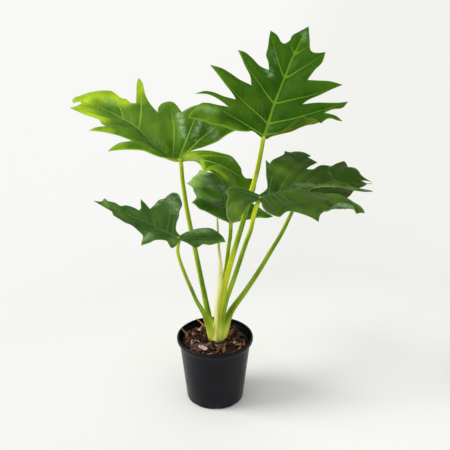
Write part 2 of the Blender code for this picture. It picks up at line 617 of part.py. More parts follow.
def leaf_surface(leaf, across, along):
    """Points in space, in metres, of flat blade points given in millimetres."""
    across = np.asarray(across, float)
    along = np.asarray(along, float)
    edge = np.clip(np.abs(across) / leaf["half"], 0, 1.3) ** 2
    ripple = 2 * np.pi * along / WAVE_LENGTH + WAVE_SHIFT * np.sign(across) + leaf["phase"]
    lift = leaf["wave"] * edge * np.sin(ripple)
    for fold in leaf.get("folds", []):
        across, along, lift = fold_over(fold, across, along, lift)
    steps = (np.arange(BEND_STEPS) + 0.5) / BEND_STEPS
    ahead = np.clip(along, 0, None) / leaf["length"]
    behind = np.clip(-along, 0, None) / leaf["back"]
    droop = np.radians(leaf["arch"]) * ahead - np.radians(leaf["back_arch"]) * behind
    forward = (np.cos(droop[:, None] * steps) * along[:, None]).mean(axis=1)
    upward = -(np.sin(droop[:, None] * steps) * along[:, None]).mean(axis=1)
    rib = rib_across(leaf, along)
    reach = np.abs(across - rib)
    right = across >= rib
    fold = np.radians(np.where(right, leaf["fold_r"], leaf["fold_l"]))
    curl = np.radians(np.where(right, leaf["curl_r"], leaf["curl_l"]))
    slope = fold[:, None] + curl[:, None] * reach[:, None] * steps / leaf["half"]
    out = rib + np.where(right, 1, -1) * (np.cos(slope) * reach[:, None]).mean(axis=1)
    up = (np.sin(slope) * reach[:, None]).mean(axis=1) + lift
    tip, side, face = leaf_axes(leaf)
    forward = forward + up * np.sin(droop)
    upward = upward + up * np.cos(droop)
    place = np.array(leaf["place"], float)
    return (place + forward[:, None] * tip + out[:, None] * side + upward[:, None] * face) * MM


def outline_points(leaf, step):
    """The flat outline at even steps: curves between its corners, which stay sharp."""
    outline = leaf["outline"]
    corners = [i for i, point in enumerate(outline) if len(point) == 3]
    points = []
    for k, start in enumerate(corners):
        stop = corners[(k + 1) % len(corners)]
        count = (stop - start) % len(outline)
        run = [outline[(start + i) % len(outline)][:2] for i in range(count + 1)]
        points.extend(smooth_route(run, step)[:-1])
    return np.array(points)


def inside(points, loop):
    """Which points lie inside the closed loop."""
    x, y = points[:, 0][:, None], points[:, 1][:, None]
    x0, y0 = loop[:, 0], loop[:, 1]
    x1, y1 = np.roll(x0, -1), np.roll(y0, -1)
    crosses = (y0 > y) != (y1 > y)
    slant = (x1 - x0) * (y - y0) / np.where(y1 == y0, 1e-9, y1 - y0) + x0
    return (crosses & (x < slant)).sum(axis=1) % 2 == 1


def distance_to(points, line):
    """Distance of each point to a polyline."""
    a, b = line[:-1][None], line[1:][None]
    p = points[:, None, :]
    ab = b - a
    share = ((p - a) * ab).sum(-1) / np.maximum((ab ** 2).sum(-1), 1e-9)
    near = a + ab * np.clip(share, 0, 1)[..., None]
    return np.linalg.norm(p - near, axis=-1).min(axis=1)


def fold_rows(leaf, loop, step):
    """Points in rows along the folds, where the blade turns over."""
    rows = []
    for fold in leaf.get("folds", []):
        start, end = np.array(fold["start"], float), np.array(fold["end"], float)
        length = np.linalg.norm(end - start)
        ahead = (end - start) / length
        right = np.array([ahead[1], -ahead[0]])
        arc = fold["radius"] * np.radians(fold["turn"])
        for past in (0.0, 0.5 * arc, arc):
            for run in np.linspace(0.04, 0.96, int(length / step)) * length:
                rows.append(start + ahead * run + right * past)
    rows = np.array(rows).reshape(-1, 2)
    return rows[inside(rows, loop) & (distance_to(rows, np.vstack([loop, loop[:1]])) > 2.5)]


def flat_blade(leaf):
    """Triangles of the flat blade, with an edge along the midrib."""
    loop = outline_points(leaf, EDGE_STEP)
    closed = np.vstack([loop, loop[:1]])
    ends = np.arange(RIB_STEP, 0.93 * leaf["length"], RIB_STEP)
    rib = np.stack([rib_across(leaf, ends), ends], axis=1)
    rib = rib[inside(rib, loop)]
    rows = fold_rows(leaf, loop, EDGE_STEP)
    low, high = loop.min(axis=0), loop.max(axis=0)
    grid = []
    for j, b in enumerate(np.arange(low[1], high[1], INNER_STEP * 0.866)):
        for a in np.arange(low[0] + (j % 2) * INNER_STEP / 2, high[0], INNER_STEP):
            grid.append((a, b))
    grid = np.array(grid)
    grid = grid[inside(grid, loop)]
    grid = grid[distance_to(grid, closed) > 0.42 * INNER_STEP]
    grid = grid[distance_to(grid, rib) > 0.45 * INNER_STEP]
    if len(rows):
        apart = np.linalg.norm(grid[:, None] - rows[None], axis=-1).min(axis=1)
        grid = grid[apart > 0.5 * INNER_STEP]
    points = np.vstack([loop, rib, rows, grid])
    count = len(loop)
    edges = [(i, (i + 1) % count) for i in range(count)]
    edges += [(count + i, count + i + 1) for i in range(len(rib) - 1)]
    result = delaunay_2d_cdt([Vector(p) for p in points], edges, [], 1, 1e-4)
    return np.array([tuple(v) for v in result[0]]), result[2]


def make_rib(name, leaf, stalk, collection):
    """The midrib on the blade's underside, with the stub that meets the stalk."""
    along = np.arange(RIB_START, RIB_END * leaf["length"], RIB_STEP)
    across = rib_across(leaf, along)
    top = leaf_surface(leaf, across, along)
    ahead = leaf_surface(leaf, across, along + 0.5) - top
    right = leaf_surface(leaf, across + 0.5, along) - top
    left = leaf_surface(leaf, across - 0.5, along) - top
    normal = np.cross(right, ahead) - np.cross(left, ahead)
    normal = normal / np.linalg.norm(normal, axis=1)[:, None]
    share = np.linspace(0, 1, len(along))
    thick = stalk["girth"][2] * MM
    radii = np.interp(share, [0, 0.3, 1], [0.85 * thick, 0.55 * thick, RIB_TIP_RADIUS])
    line = top - normal * radii[:, None] * 0.45
    points, _ = stalk_points(stalk)
    end = points[-1]
    come = end_direction(points)
    stub = [end - come * STUB_LENGTH, end - come * 0.5 * STUB_LENGTH]
    line = np.vstack([stub, line])
    radii = np.concatenate([[thick, thick], radii])
    tube = tube_curve(name + " rib", line, radii, collection)
    return curve_to_mesh(tube, collection)


def make_blade(key, parts, cutters):
    leaf = LEAVES[key]
    flat, faces = flat_blade(leaf)
    vertices = leaf_surface(leaf, flat[:, 0], flat[:, 1])
    material = make_material("leaf " + key, LEAF_GREEN, 0.4)
    blade = mesh_object("blade_" + key, vertices, faces, parts, material)
    solid = blade.modifiers.new("thickness", "SOLIDIFY")
    solid.thickness = BLADE_THICKNESS
    solid.offset = 0
    solid.use_even_offset = True
    rib = make_rib("blade " + key, leaf, STALKS[key], cutters)
    unite(blade, [rib], cutters)
    shade_round(blade, 60)
    return blade


def make_stalk(key, parts):
    stalk = STALKS[key]
    points, radii = stalk_points(stalk)
    points, radii = shorten_end(points, radii, STUB_LENGTH + GAP)
    _, upper = split_stalk(points, radii, SPLIT_HEIGHT)
    material = make_material("stalk " + key, STALK_GREEN, 0.45)
    return tube_curve("petiole_" + key, upper[0], upper[1], parts, material)


def make_sheath(parts):
    _, upper = split_stalk(*stalk_points(SHEATH), SPLIT_HEIGHT)
    return tube_curve("sheath", upper[0], upper[1], parts, make_material("sheath", CREAM, 0.5))


def make_young_leaf(parts):
    points, radii = stalk_points(YOUNG_LEAF)
    sheath, _ = stalk_points(SHEATH)
    ahead = sheath[-1] - sheath[-2]
    ahead = ahead / np.linalg.norm(ahead)
    points[0] = sheath[-1] + ahead * GAP
    points = np.vstack([points[:1], points[:1] + ahead * 4 * MM, points[1:]])
    radii = np.append(radii[:1], radii)
    return tube_curve("young_leaf", points, radii, parts, make_material("young leaf", STALK_GREEN, 0.45))


def main():
    clear_scene()
    parts = make_collection("potted philodendron")
    cutters = make_collection("cutters")
    bumps = soil_bumps()
    make_pot(parts, cutters)
    soil = make_soil(parts, bumps)
    make_crown(parts, cutters)
    for key in LEAVES:
        make_stalk(key, parts)
        make_blade(key, parts, cutters)
    make_sheath(parts)
    make_young_leaf(parts)
    for name in BARK:
        make_bark(name, parts, soil)


main()
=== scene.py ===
"""Looks for the potted lacy tree philodendron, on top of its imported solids.

Each piece is a finer version of the solid it replaces, made from the same outlines and routes.
The origin is the centre of the pot's base, +Z is up, and the viewer stands on the -Y side.
"""

import bpy
import bmesh
import numpy as np
from mathutils import Matrix, Vector, noise
from mathutils.geometry import delaunay_2d_cdt

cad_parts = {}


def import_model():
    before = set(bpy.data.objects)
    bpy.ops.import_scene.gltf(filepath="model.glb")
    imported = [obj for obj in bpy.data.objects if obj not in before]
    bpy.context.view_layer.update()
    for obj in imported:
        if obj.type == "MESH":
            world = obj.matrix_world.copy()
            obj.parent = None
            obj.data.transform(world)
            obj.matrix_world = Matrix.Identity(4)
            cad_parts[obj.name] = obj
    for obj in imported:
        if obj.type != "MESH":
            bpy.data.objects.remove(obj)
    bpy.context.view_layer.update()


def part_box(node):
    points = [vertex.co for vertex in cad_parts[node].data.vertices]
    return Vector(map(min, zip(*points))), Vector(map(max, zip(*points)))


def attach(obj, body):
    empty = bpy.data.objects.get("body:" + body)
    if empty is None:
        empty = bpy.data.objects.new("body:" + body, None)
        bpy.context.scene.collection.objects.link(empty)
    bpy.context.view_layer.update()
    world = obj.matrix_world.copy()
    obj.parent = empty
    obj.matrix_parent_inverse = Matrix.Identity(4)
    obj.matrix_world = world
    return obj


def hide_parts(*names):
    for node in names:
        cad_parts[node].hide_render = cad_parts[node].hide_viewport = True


MM = 0.001

# Camera, light and floor, in metres and degrees. The floor goes from its lit left tone to its right one
# across FLOOR_CHANGE, which slants with the distance: painted shade, darker where the light falls off to
# the right. It has a painted pool of light behind the pot, which lifts the shadow of the plant there.
# The world is brightest towards WORLD_FROM.
CAMERA_PLACE = (0.0158, -1.5479, 1.0451)
CAMERA_PITCH = 25.6
CAMERA_LENS = 91.2
FLOOR_SIZE = 6.0
FLOOR_LIT_LEFT = (0.905, 0.905, 0.89)
FLOOR_SHADED_RIGHT = (0.855, 0.86, 0.825)
FLOOR_CHANGE = (-0.19, 0.09)
FLOOR_SLANT = 0.16
FLOOR_LIGHT_POOL = (0.985, 0.985, 0.96)
LIGHT_POOL_PLACE = (0.18, 0.07, 0.0)
LIGHT_POOL_SIZE = (0.62, 0.38, 1.0)
LIGHT_POOL_FADE = (0.35, 1.0)
WORLD_COLOUR = (0.985, 0.99, 1.0)
WORLD_RANGE = (0.59, 0.80)
WORLD_FROM = (-0.50, -0.50, 0.70)
WORLD_TURN = (-0.1, 0.9)
KEY_COLOUR = (1.0, 0.985, 0.965)
KEY_STRENGTH = 1.62
KEY_SPREAD = 30
KEY_SIDE = 5
KEY_RISE = 41
KEY_DISTANCE = 2

# Pot, as radii and heights in millimetres
POT_HEIGHT = 110
POT_BODY_HEIGHT = 99
POT_BASE_RADIUS = 44.5
POT_TOP_RADIUS = 55.6
POT_WALL = 1.6
POT_CORNER = 2.6
POT_SIDES = 144
LIP_RADIUS = 60
LIP_INSIDE_RADIUS = 56.8
LIP_INSIDE_FOOT = 104.5
LIP_OUTSIDE = [(60, 105), (59.6, 103.6), (58.2, 102), (56.6, 100.5)]
DRAIN_SLOTS = 8
DRAIN_SIZE = (8, 12, 5)
DRAIN_FIRST_ANGLE = -88
POT_SHADES = ((0.0018, 0.0020, 0.0046), (0.0032, 0.0034, 0.0070))
POT_SCUFF = (0.05, 0.05, 0.055)
POT_DUST = (0.08, 0.07, 0.06)
SCUFF_SCALE = (1, 1, 0.12)

# Edges sharper than these angles in degrees stay sharp
LEAF_SMOOTH = 65
RIB_SMOOTH = 60
STALK_SMOOTH = 50
POT_SMOOTH = 35
SOIL_SMOOTH = 70
CHIP_SMOOTH = 32

# Soil: heights and sizes in millimetres. Its mounds lie between two shares of its area.
SOIL_EDGE_HEIGHT = 99
SOIL_DOME = 6
SOIL_BUMPS = 90
BUMP_SPREAD = (0.07, 0.85)
BUMP_SIZES = (3.5, 7)
BUMP_HEIGHTS = (0.6, 2.6)
SOIL_SEED = 7
SOIL_SIDES = 180
SOIL_RINGS = 56
SOIL_FLOOR = 5.2
CRUMB_SCALE = 330
CRUMB_HEIGHT = 1.1
CRUMB_SEED = 3.0

# Mulch and loose plates: lengths of chips and sizes of fibres in millimetres, leans in radians. The
# width and thickness of a chip are shares of its length, and its lift is a share of its thickness.
MULCH_CHIPS = 330
MULCH_SEED = 21
CHIP_LENGTHS = (3, 14)
CHIP_WIDTH = (0.4, 0.75)
CHIP_THICKNESS = (0.2, 0.45)
CHIP_LIFT = (0.2, 0.8)
CHIP_ROUGH = 0.16
CHIP_BREAKS = 7
CHIP_CUT = (0.45, 0.8)
CHIP_LEAN = 0.75
FIBRE_SHARE = 0.12
FIBRE_SIZES = ((8, 18), (0.7, 1.4), (0.7, 1.1))
FIBRE_LEAN = 0.2
CROWN_CLEARANCE = 12.5
PLATE_SEED = 17
PLATE_RAGGED = 0.2
PLATE_ROUGH = 0.22
PLATE_ROWS = 15
PLATE_COLUMNS = 9

# Tones of the chips: dark browns mostly, some rust, some pale or pinkish, each with the running
# share of the chips up to it
CHIP_TONES = ((0.40, (0.040, 0.019, 0.011)), (0.66, (0.13, 0.060, 0.032)), (0.86, (0.24, 0.10, 0.045)),
              (0.95, (0.20, 0.12, 0.085)), (1.01, (0.46, 0.29, 0.20)))
CHIP_SHADE = (0.85, 1.6)
BARK_DARK = (0.010, 0.005, 0.003)
BARK_LIFT = (1.9, 1.8, 1.75)
EARTH_DARK = (0.004, 0.0020, 0.0012)
EARTH_LIGHT = (0.042, 0.019, 0.009)
EARTH_CRUMBS = (0.19, 0.085, 0.045)

# Crown: its profile as radii and heights in millimetres, and its unevenness in shares of the radius:
# a soft swell, lobes with their number and turn, and scars with their closeness and waviness
CROWN_PLACE = (3 * MM, 2 * MM)
CROWN_PROFILE = [(0, 126), (6, 124), (10, 117), (12.5, 108), (12.5, 96), (9, 84), (4, 76), (0, 76)]
CROWN_SIDES = 72
CROWN_TINT = 0.5
CROWN_STEP = 1.2
CROWN_SWELL = 0.07
CROWN_SWELL_SCALE = (1.7, 9)
CROWN_LOBES = (0.05, 3, 0.6)
CROWN_SCARS = (0.04, 1.9, 2)

# Stalks and the ribs below the blades. Below SPLIT_HEIGHT a stalk is part of the crown, and its last
# STUB_LENGTH is part of the ribs. A midrib starts at shares of the stalk's radius.
SPLIT_HEIGHT = 158 * MM
STUB_LENGTH = 9 * MM
STALK_STEP = 4 * MM
STALK_SIDES = 24
FOOT_FLARE = 0.5
MIDRIB_SHARES = (0.85, 0.55)
MIDRIB_END = 0.6 * MM
RIB_SINK = (1.05, 1.25, 1.25)
SIDE_RIB_RADII = (0.75 * MM, 0.3 * MM)
RIB_GAP = 0.25 * MM

# Section of a stalk: depth and half width of its channel, and height, width and place of the ridges
# beside it, in radii and radians
CHANNEL = (0.17, 0.42)
RIDGES = (0.05, 0.3, 0.85)

# How far the streaks of the stalks are drawn out, and how they differ from stalk to stalk
GRAIN_STRETCH = 12
GRAIN_SHIFT = 3.7
RIB_GRAIN = 40
CROWN_GRAIN = 120

# How much wider than thick the foot of a stalk is, and the heights in metres between which this and
# its flare end
WINGS = {"c": 0.3, "f": 0.35, "b": 0.2}
PLAIN_WING = 0.12
WING_HEIGHTS = (0.135, 0.20)
FLARE_HEIGHTS = (0.102, 0.140)

# Sheath and young leaf
SHEATH_FORWARD = 6 * MM
SHEATH_FORWARD_HEIGHTS = (0.106, 0.150)
SHEATH_OVERLAP = 0.18
YOUNG_LEAF_OVERLAP = 0.3
YOUNG_LEAF_SIDES = 20
YOUNG_LEAF_RADII = (3.4 * MM, 2.9 * MM, 2.2 * MM, 1.7 * MM, 1.2 * MM)
TOWARDS_VIEWER = np.array([0.0, -1.0, 0.0])

# How yellow each stalk is, as heights in millimetres and amounts (below 0 is greener than its
# neighbours, which on the lower stalks of e and f is painted shade), and its ribs near the joint
STALK_TINT = {
    "a": [(110, 0.6), (150, 0.85), (228, 0.85), (268, 0.05), (330, 0.1), (352, 0.5), (364, 0.5),
          (376, 0.15), (420, 0.35)],
    "b": [(240, 0.0), (300, 0.15), (365, 0.3)],
    "c": [(230, 0.0), (275, 0.35), (305, 0.6)],
    "d": [(120, 0.15), (200, 0.2), (240, 0.0)],
    # Painted shade: the lower stalks of e and f are darker green
    "e": [(250, -0.22), (305, 0.2), (335, 0.9), (352, 0.8), (358, 0.0)],
    "f": [(110, -0.25), (325, -0.15)],
}
RIB_TINT = {"a": 0.4, "b": 0.35, "c": 0.0, "d": 0.2, "e": 0.1, "f": 0.2}
FAR_RIB_TINT = 0.3
RIB_TINT_REACH = (0.015, 0.05)

# Blades, in millimetres: steps of the mesh, veins from foot to end, the raised fields between them,
# the creases along them, and the slow waves. A margin is where each of these fades towards the edge.
LEAF_THICKNESS = 0.5 * MM
EDGE_STEP = 2.2
INNER_STEP = 2.7
FOLD_ROWS = 9
BEND_STEPS = 40
VEIN_STEP = 2.4
VEIN_END = 0.93
VEIN_BEND = (0.52, 0.40)
MAIN_VEIN_HALF = (1.7, 0.5)
SIDE_VEIN_HALF = (0.85, -0.5)
CUSHION = 4.0
CUSHION_REACH = 10
CUSHION_MARGIN = 9
CREASE = 0.5
CREASE_REACH = 1.6
CREASE_MARGIN = 5
WANDER = 3.2
WANDER_LENGTH = 26
WANDER_MARGIN = 10
WAVE_LENGTH = 62
WAVE_SHIFT = 1.7
FINE_VEIN_STEP = 7.5
FINE_VEIN_SLANT = 0.75
FINE_VEIN_DRIFT = 9.0

# How light goes into the blades, the sheath and the stalks
LEAF_INSIDE = dict(subsurface=0.35, radius=(0.5, 1.0, 0.15), scale=0.003)
EDGE_INSIDE = dict(subsurface=0.3, radius=(0.5, 1.0, 0.15), scale=0.003)
SHEATH_INSIDE = dict(subsurface=0.3, radius=(1.0, 0.9, 0.4), scale=0.003)
STALK_INSIDE = dict(subsurface=0.30, radius=(0.9, 1.0, 0.1), scale=0.002)

# Colour of the painted sheen, darkness of the painted shade, its scale on the lower sides, and the
# scale of the blades' fine net
PAINTED_SHEEN_COLOUR = (0.36, 0.48, 0.30)
PAINTED_SHADE_DARKNESS = 0.40
UNDER_PAINTED_SHADE_SCALE = 2.5
NET_SCALE = 300

# Stalks and sheath: painted light that makes the stalks yellower on their lit side and painted shade that
# makes them greener on the other, and how far a face looks that way; their colours, and the heights in
# metres between which these change
STALK_PAINTED_LIGHT = 0.42
STALK_PAINTED_LIGHT_FACING = (0.25, 0.95)
STALK_PAINTED_SHADE = 0.3
STALK_PAINTED_SHADE_FACING = (0, 0.8)
STALK_DARK = (0.055, 0.165, 0.004)
STALK_LIGHT = (0.205, 0.39, 0.020)
STALK_YELLOW = (0.80, 0.84, 0.035)
STALK_FOOT = (0.87, 1.0, 0.12)
YOUNG_GREEN = (0.34, 0.50, 0.05)
STALK_SCAR = (0.20, 0.15, 0.09)
FOOT_HEIGHTS = (0.150, 0.112)
SKIRT_HEIGHTS = (0.1085, 0.1045)
SHEATH_FOOT_HEIGHTS = (0.150, 0.115)
SHEATH_END_HEIGHTS = (0.228, 0.262)
SHEATH_SHADES = ((0.84, 0.80, 0.26), (0.95, 0.93, 0.50))
SHEATH_FOOT_SHADES = ((0.66, 0.76, 0.06), (0.95, 0.96, 0.34))

# Colours of each blade: dark and light green of its upper side, the tint of its bright places, its
# veins, and the two greens of its lower side; and how rough it is and how plain its veins show
LOOKS = {
    "a": dict(dark=(0.020, 0.064, 0.0012), light=(0.054, 0.122, 0.0025), glow=(0.22, 0.38, 0.02),
              vein=(0.165, 0.32, 0.016), under=(0.060, 0.125, 0.004), pale=(0.12, 0.20, 0.008), rough=0.34,
              veins=0.9, fine=0.08),
    "b": dict(dark=(0.052, 0.130, 0.004), light=(0.125, 0.235, 0.008), glow=(0.54, 0.72, 0.015),
              vein=(0.36, 0.54, 0.08), under=(0.09, 0.20, 0.015), pale=(0.20, 0.37, 0.04), rough=0.32,
              veins=0.9, fine=0.16),
    "c": dict(dark=(0.022, 0.056, 0.006), light=(0.058, 0.115, 0.018), glow=(0.20, 0.32, 0.06),
              vein=(0.14, 0.25, 0.05), under=(0.11, 0.19, 0.04), pale=(0.20, 0.30, 0.09), rough=0.32,
              veins=0.3, fine=0.08),
    "d": dict(dark=(0.015, 0.046, 0.0015), light=(0.086, 0.170, 0.003), glow=(0.52, 0.76, 0.18),
              vein=(0.14, 0.24, 0.04), under=(0.15, 0.22, 0.06), pale=(0.26, 0.34, 0.12), rough=0.34,
              veins=0.3, fine=0.08),
    "e": dict(dark=(0.021, 0.056, 0.003), light=(0.062, 0.108, 0.008), glow=(0.15, 0.25, 0.02),
              vein=(0.15, 0.24, 0.08), under=(0.09, 0.16, 0.03), pale=(0.14, 0.23, 0.07), rough=0.34,
              veins=0.4, fine=0.08),
    "f": dict(dark=(0.020, 0.040, 0.002), light=(0.042, 0.070, 0.006), glow=(0.12, 0.18, 0.02),
              vein=(0.10, 0.17, 0.03), under=(0.10, 0.16, 0.03), pale=(0.16, 0.24, 0.06), rough=0.34,
              veins=0.3, fine=0.08),
}

# Plates of each loose piece of bark: place and size in millimetres, bend across the width in degrees,
# turn, lean and roll in degrees, and colour
PLATES = {
    "bark_chunk": [
        ((-7, 1, 6.0), (19, 15, 2.2), 120, (0, -8, 20), (0.12, 0.070, 0.050)),
        ((-11, 6, 7.6), (17, 1.3, 1.2), 60, (58, -8, 0), (0.60, 0.46, 0.38)),
        ((-4, 11, 8.0), (8, 1.3, 1.2), 60, (-40, 0, 0), (0.55, 0.42, 0.36)),
        ((5, -3.5, 5.6), (16, 9, 1.8), 60, (-32, 8, 8), (0.82, 0.60, 0.52)),
        ((6, 3, 5.0), (20, 9, 2.6), 40, (-48, 5, -12), (0.11, 0.06, 0.04)),
        ((-3, -4, 3.0), (24, 9, 3.0), 30, (-12, 0, 10), (0.15, 0.085, 0.06)),
    ],
    "bark_curl": [
        ((0, 0, 5.6), (19, 8, 1.2), 150, (62, 0, 30), (0.34, 0.14, 0.05)),
        ((-1, -3, 3.0), (15, 6, 1.6), 40, (50, 6, 0), (0.15, 0.07, 0.035)),
    ],
    "bark_chip": [((0, 0, 3.2), (8.6, 5, 1.3), 50, (75, 8, 20), (0.72, 0.46, 0.34))],
    "twig_back": [((0, 0, 7.2), (20.5, 3.0, 2.0), 140, (-31, 29, 0), (0.74, 0.43, 0.26))],
    "twig_left": [((0, 0, 6.4), (17.5, 2.8, 1.8), 140, (-41, 29, 0), (0.40, 0.22, 0.13))],
}

# Soft strokes of tone on each blade: the two flat points it runs between, its reach and its amount.
# The lists are, in order: glow, painted light where light comes through; painted shade, a darker green;
# a painted highlight of pale sheen; edge, a painted bright rim of light along the margin; and painted
# shade that makes the veins look dark.
TONES = {
    "a": dict(
        glow=[(-98, -7, -44, -3, 15, 0.6), (-108, 6, -84, 10, 16, 0.7), (-104, 72, -82, 61, 18, 0.15),
              (-108, 27, -80, 32, 16, 0.15), (-60, 24, -20, 60, 22, 0.2), (-116, -4, -96, -3, 14, 0.3)],
        painted_shade=[(-16, 30, -26, 110, 26, 0.35), (-67, 2, -38, 8, 14, 0.6), (-53, 51, -36, 46, 22, 0.4),
              (14, 52, 43, 88, 24, 0.3), (-20, 8, -50, 20, 18, 0.4), (10, 120, 20, 160, 20, 0.2)],
        painted_sheen=[(-111, 8, -84, 9, 12, 0.35), (-76, 100, -66, 92, 9, 0.4), (-33, 107, -26, 101, 9, 0.6),
               (-38, 142, -27, 126, 7, 0.3), (-6, 191, 2, 181, 10, 0.4)],
        edge=[(-118, -8, -40, -2, 26, 1), (-118, 70, -84, 52, 16, 0.9), (-84, 112, -66, 88, 14, 0.9),
              (60, 40, 75, 78, 14, 0.5)]),
    "b": dict(
        glow=[(-14, 226, 20, 196, 32, 1), (-28, 205, -28, 150, 26, 1), (30, 206, 44, 150, 22, 0.8),
              (-66, 130, -44, 112, 14, 0.5), (-82, 74, -60, 70, 12, 0.4), (91, 164, 61, 134, 18, 0.7),
              (10, -2, 21, -10, 12, 0.9), (30, -8, 46, -22, 12, 0.4), (24, -20, 9, -39, 6, 1),
              (9, -39, 14, -52, 7, 1), (14, -52, 24, -66, 7, 1)],
        painted_shade=[(0, 10, 8, 48, 18, 0.6), (-4, 104, -6, 38, 34, 0.5), (68, 132, 34, 90, 20, 0.45),
              (12, 196, 10, 150, 12, 0.5), (12, -62, 30, -82, 10, 0.9), (55, 92, 0, 36, 12, 0.5),
              (59, 25, 77, -13, 32, 0.7), (39, 12, 43, -9, 22, 0.6),
              (41, -31, 55, -65, 24, 0.5), (22, -58, 34, -80, 34, 0.6), (-50, 62, -20, 40, 24, 0.15)],
        painted_sheen=[(66, 62, 30, 23, 8, 0.9), (10, 229, 46, 196, 8, 0.55), (27, 179, 27, 166, 12, 0.5),
               (77, 9, 70, -8, 12, 0.45), (74, 29, 41, 10, 8, 0.5), (65, -37, 62, -42, 8, 0.3),
               (20, -10, 10, -30, 9, 0.4)],
        edge=[(-70, 60, -20, 20, 22, 0.8), (10, 240, 30, 210, 20, 0.7), (-60, 130, -30, 190, 20, 0.5),
              (100, -20, 60, -22, 20, 0.4)],
        painted_vein_shade=[(-32, 200, -24, 30, 76, 1)]),
    "c": dict(
        glow=[(15, 145, 6, 134, 10, 0.7), (14, 134, -10, 81, 10, 0.25), (-37, 38, -28, 34, 12, 0.4),
              (-13, 8, -16, -2, 10, 0.4), (9, -29, 28, -52, 10, 0.4), (62, 60, 50, 40, 14, 0.25)],
        painted_shade=[(-5, 76, 0, 26, 24, 0.4), (4, -14, 28, -44, 12, 0.7), (-18, 14, 4, 20, 16, 0.4),
              (-20, 60, -30, 50, 14, 0.3)],
        painted_sheen=[(44, 76, 57, 72, 12, 0.7), (74, 66, 46, 34, 16, 0.4), (-38, 39, -28, 34, 10, 0.4),
               (13, 0, 32, -26, 8, 0.4)],
        edge=[(60, 80, 90, 60, 24, 0.4), (-40, 40, -10, 0, 20, 0.4), (0, -60, 30, -50, 20, 0.4)]),
    "d": dict(
        glow=[(-46, 116, -22, 156, 30, 1), (-42, 100, -37, 72, 14, 0.35), (-37, 79, -20, 62, 16, 0.25)],
        painted_shade=[(-34, 44, -7, 40, 24, 0.7), (-18, 138, 0, 149, 16, 0.8), (10, 90, 20, 60, 20, 0.4)],
        painted_sheen=[(-24, 108, -12, 94, 8, 0.6), (3, 110, 10, 82, 9, 0.5), (-42, 88, -38, 68, 6, 0.6)],
        edge=[(-50, 100, -45, 150, 20, 0.7), (-50, 60, -40, 90, 16, 0.4), (-46, 36, -6, 4, 14, 0.4),
              (40, -10, 60, 60, 16, 0.6)]),
    "e": dict(
        glow=[(12, -42, 37, -43, 22, 0.6), (-65, 40, -46, 55, 18, 0.5), (30, 108, -10, 160, 26, 0.3),
              (-13, 113, -8, 134, 10, 0.5), (-30, 30, -4, 52, 14, 0.25), (56, 24, 69, 62, 14, 0.3),
              (49, 132, 64, 138, 10, 0.4), (-80, 60, -60, 80, 14, 0.3)],
        painted_shade=[(-24, 28, -14, 33, 16, 0.7), (-3, 85, 14, 101, 9, 1), (47, 85, 73, 93, 8, 0.8),
              (40, 10, 50, 50, 26, 0.35), (-34, 112, -40, 122, 10, 0.6)],
        painted_sheen=[(-19, 66, -19, 134, 6, 0.35), (73, 93, 70, 115, 12, 0.7)],
        edge=[(-19, -43, 42, -60, 26, 0.9), (-10, 80, -16, 137, 8, 1), (-16, 137, 0, 186, 8, 0.7),
              (50, 70, 66, 84, 10, 0.8), (-40, 130, -34, 134, 8, 0.6), (20, -10, 60, 0, 14, 0.4)]),
    "f": dict(glow=[(1, 38, 10, 35, 10, 0.2)]),
}

# Side veins of each blade: where they leave the midrib, and the flat point they run to
VEINS = {
    "a": [(107, -53, 171), (107, 39, 169), (61, -88, 120), (61, 82, 125), (26, -118, 79), (26, 99, 102),
          (6, -121, 25), (2, -116, -15), (8, 102, 68), (150, -28, 178), (148, 18, 186)],
    "b": [(18, -84, 74), (62, -66, 131), (125, -34, 200), (130, 47, 188), (95, 98, 172), (12, 79, 92),
          (4, 98, 52), (2, 104, 8), (2, 70, -45), (2, 76, -82), (95, -32, 148), (165, -10, 214)],
    "c": [(5, -51, 33), (30, -16, 78), (45, 45, 99), (14, 86, 68), (2, 31, -59), (2, -26, -4),
          (85, 18, 122), (60, -12, 104), (24, 62, 58)],
    "d": [(12, -54, 58), (62, -53, 118), (115, -24, 166), (95, 38, 148), (60, 47, 108), (28, 54, 66),
          (2, 68, 1), (38, -45, 92), (5, 48, 30)],
    "e": [(6, -79, 38), (14, -94, 73), (32, -84, 106), (50, -66, 114), (75, -57, 131), (28, 84, 57),
          (4, 63, 5), (60, 66, 136), (2, 42, -62), (2, -28, -36), (110, -28, 134), (20, 60, 30)],
    "f": [(2, -58, -6), (12, -66, 38), (60, -31, 115), (3, 62, 0), (22, 55, 49), (75, 32, 121),
          (40, -40, 60), (60, 43, 80)],
}

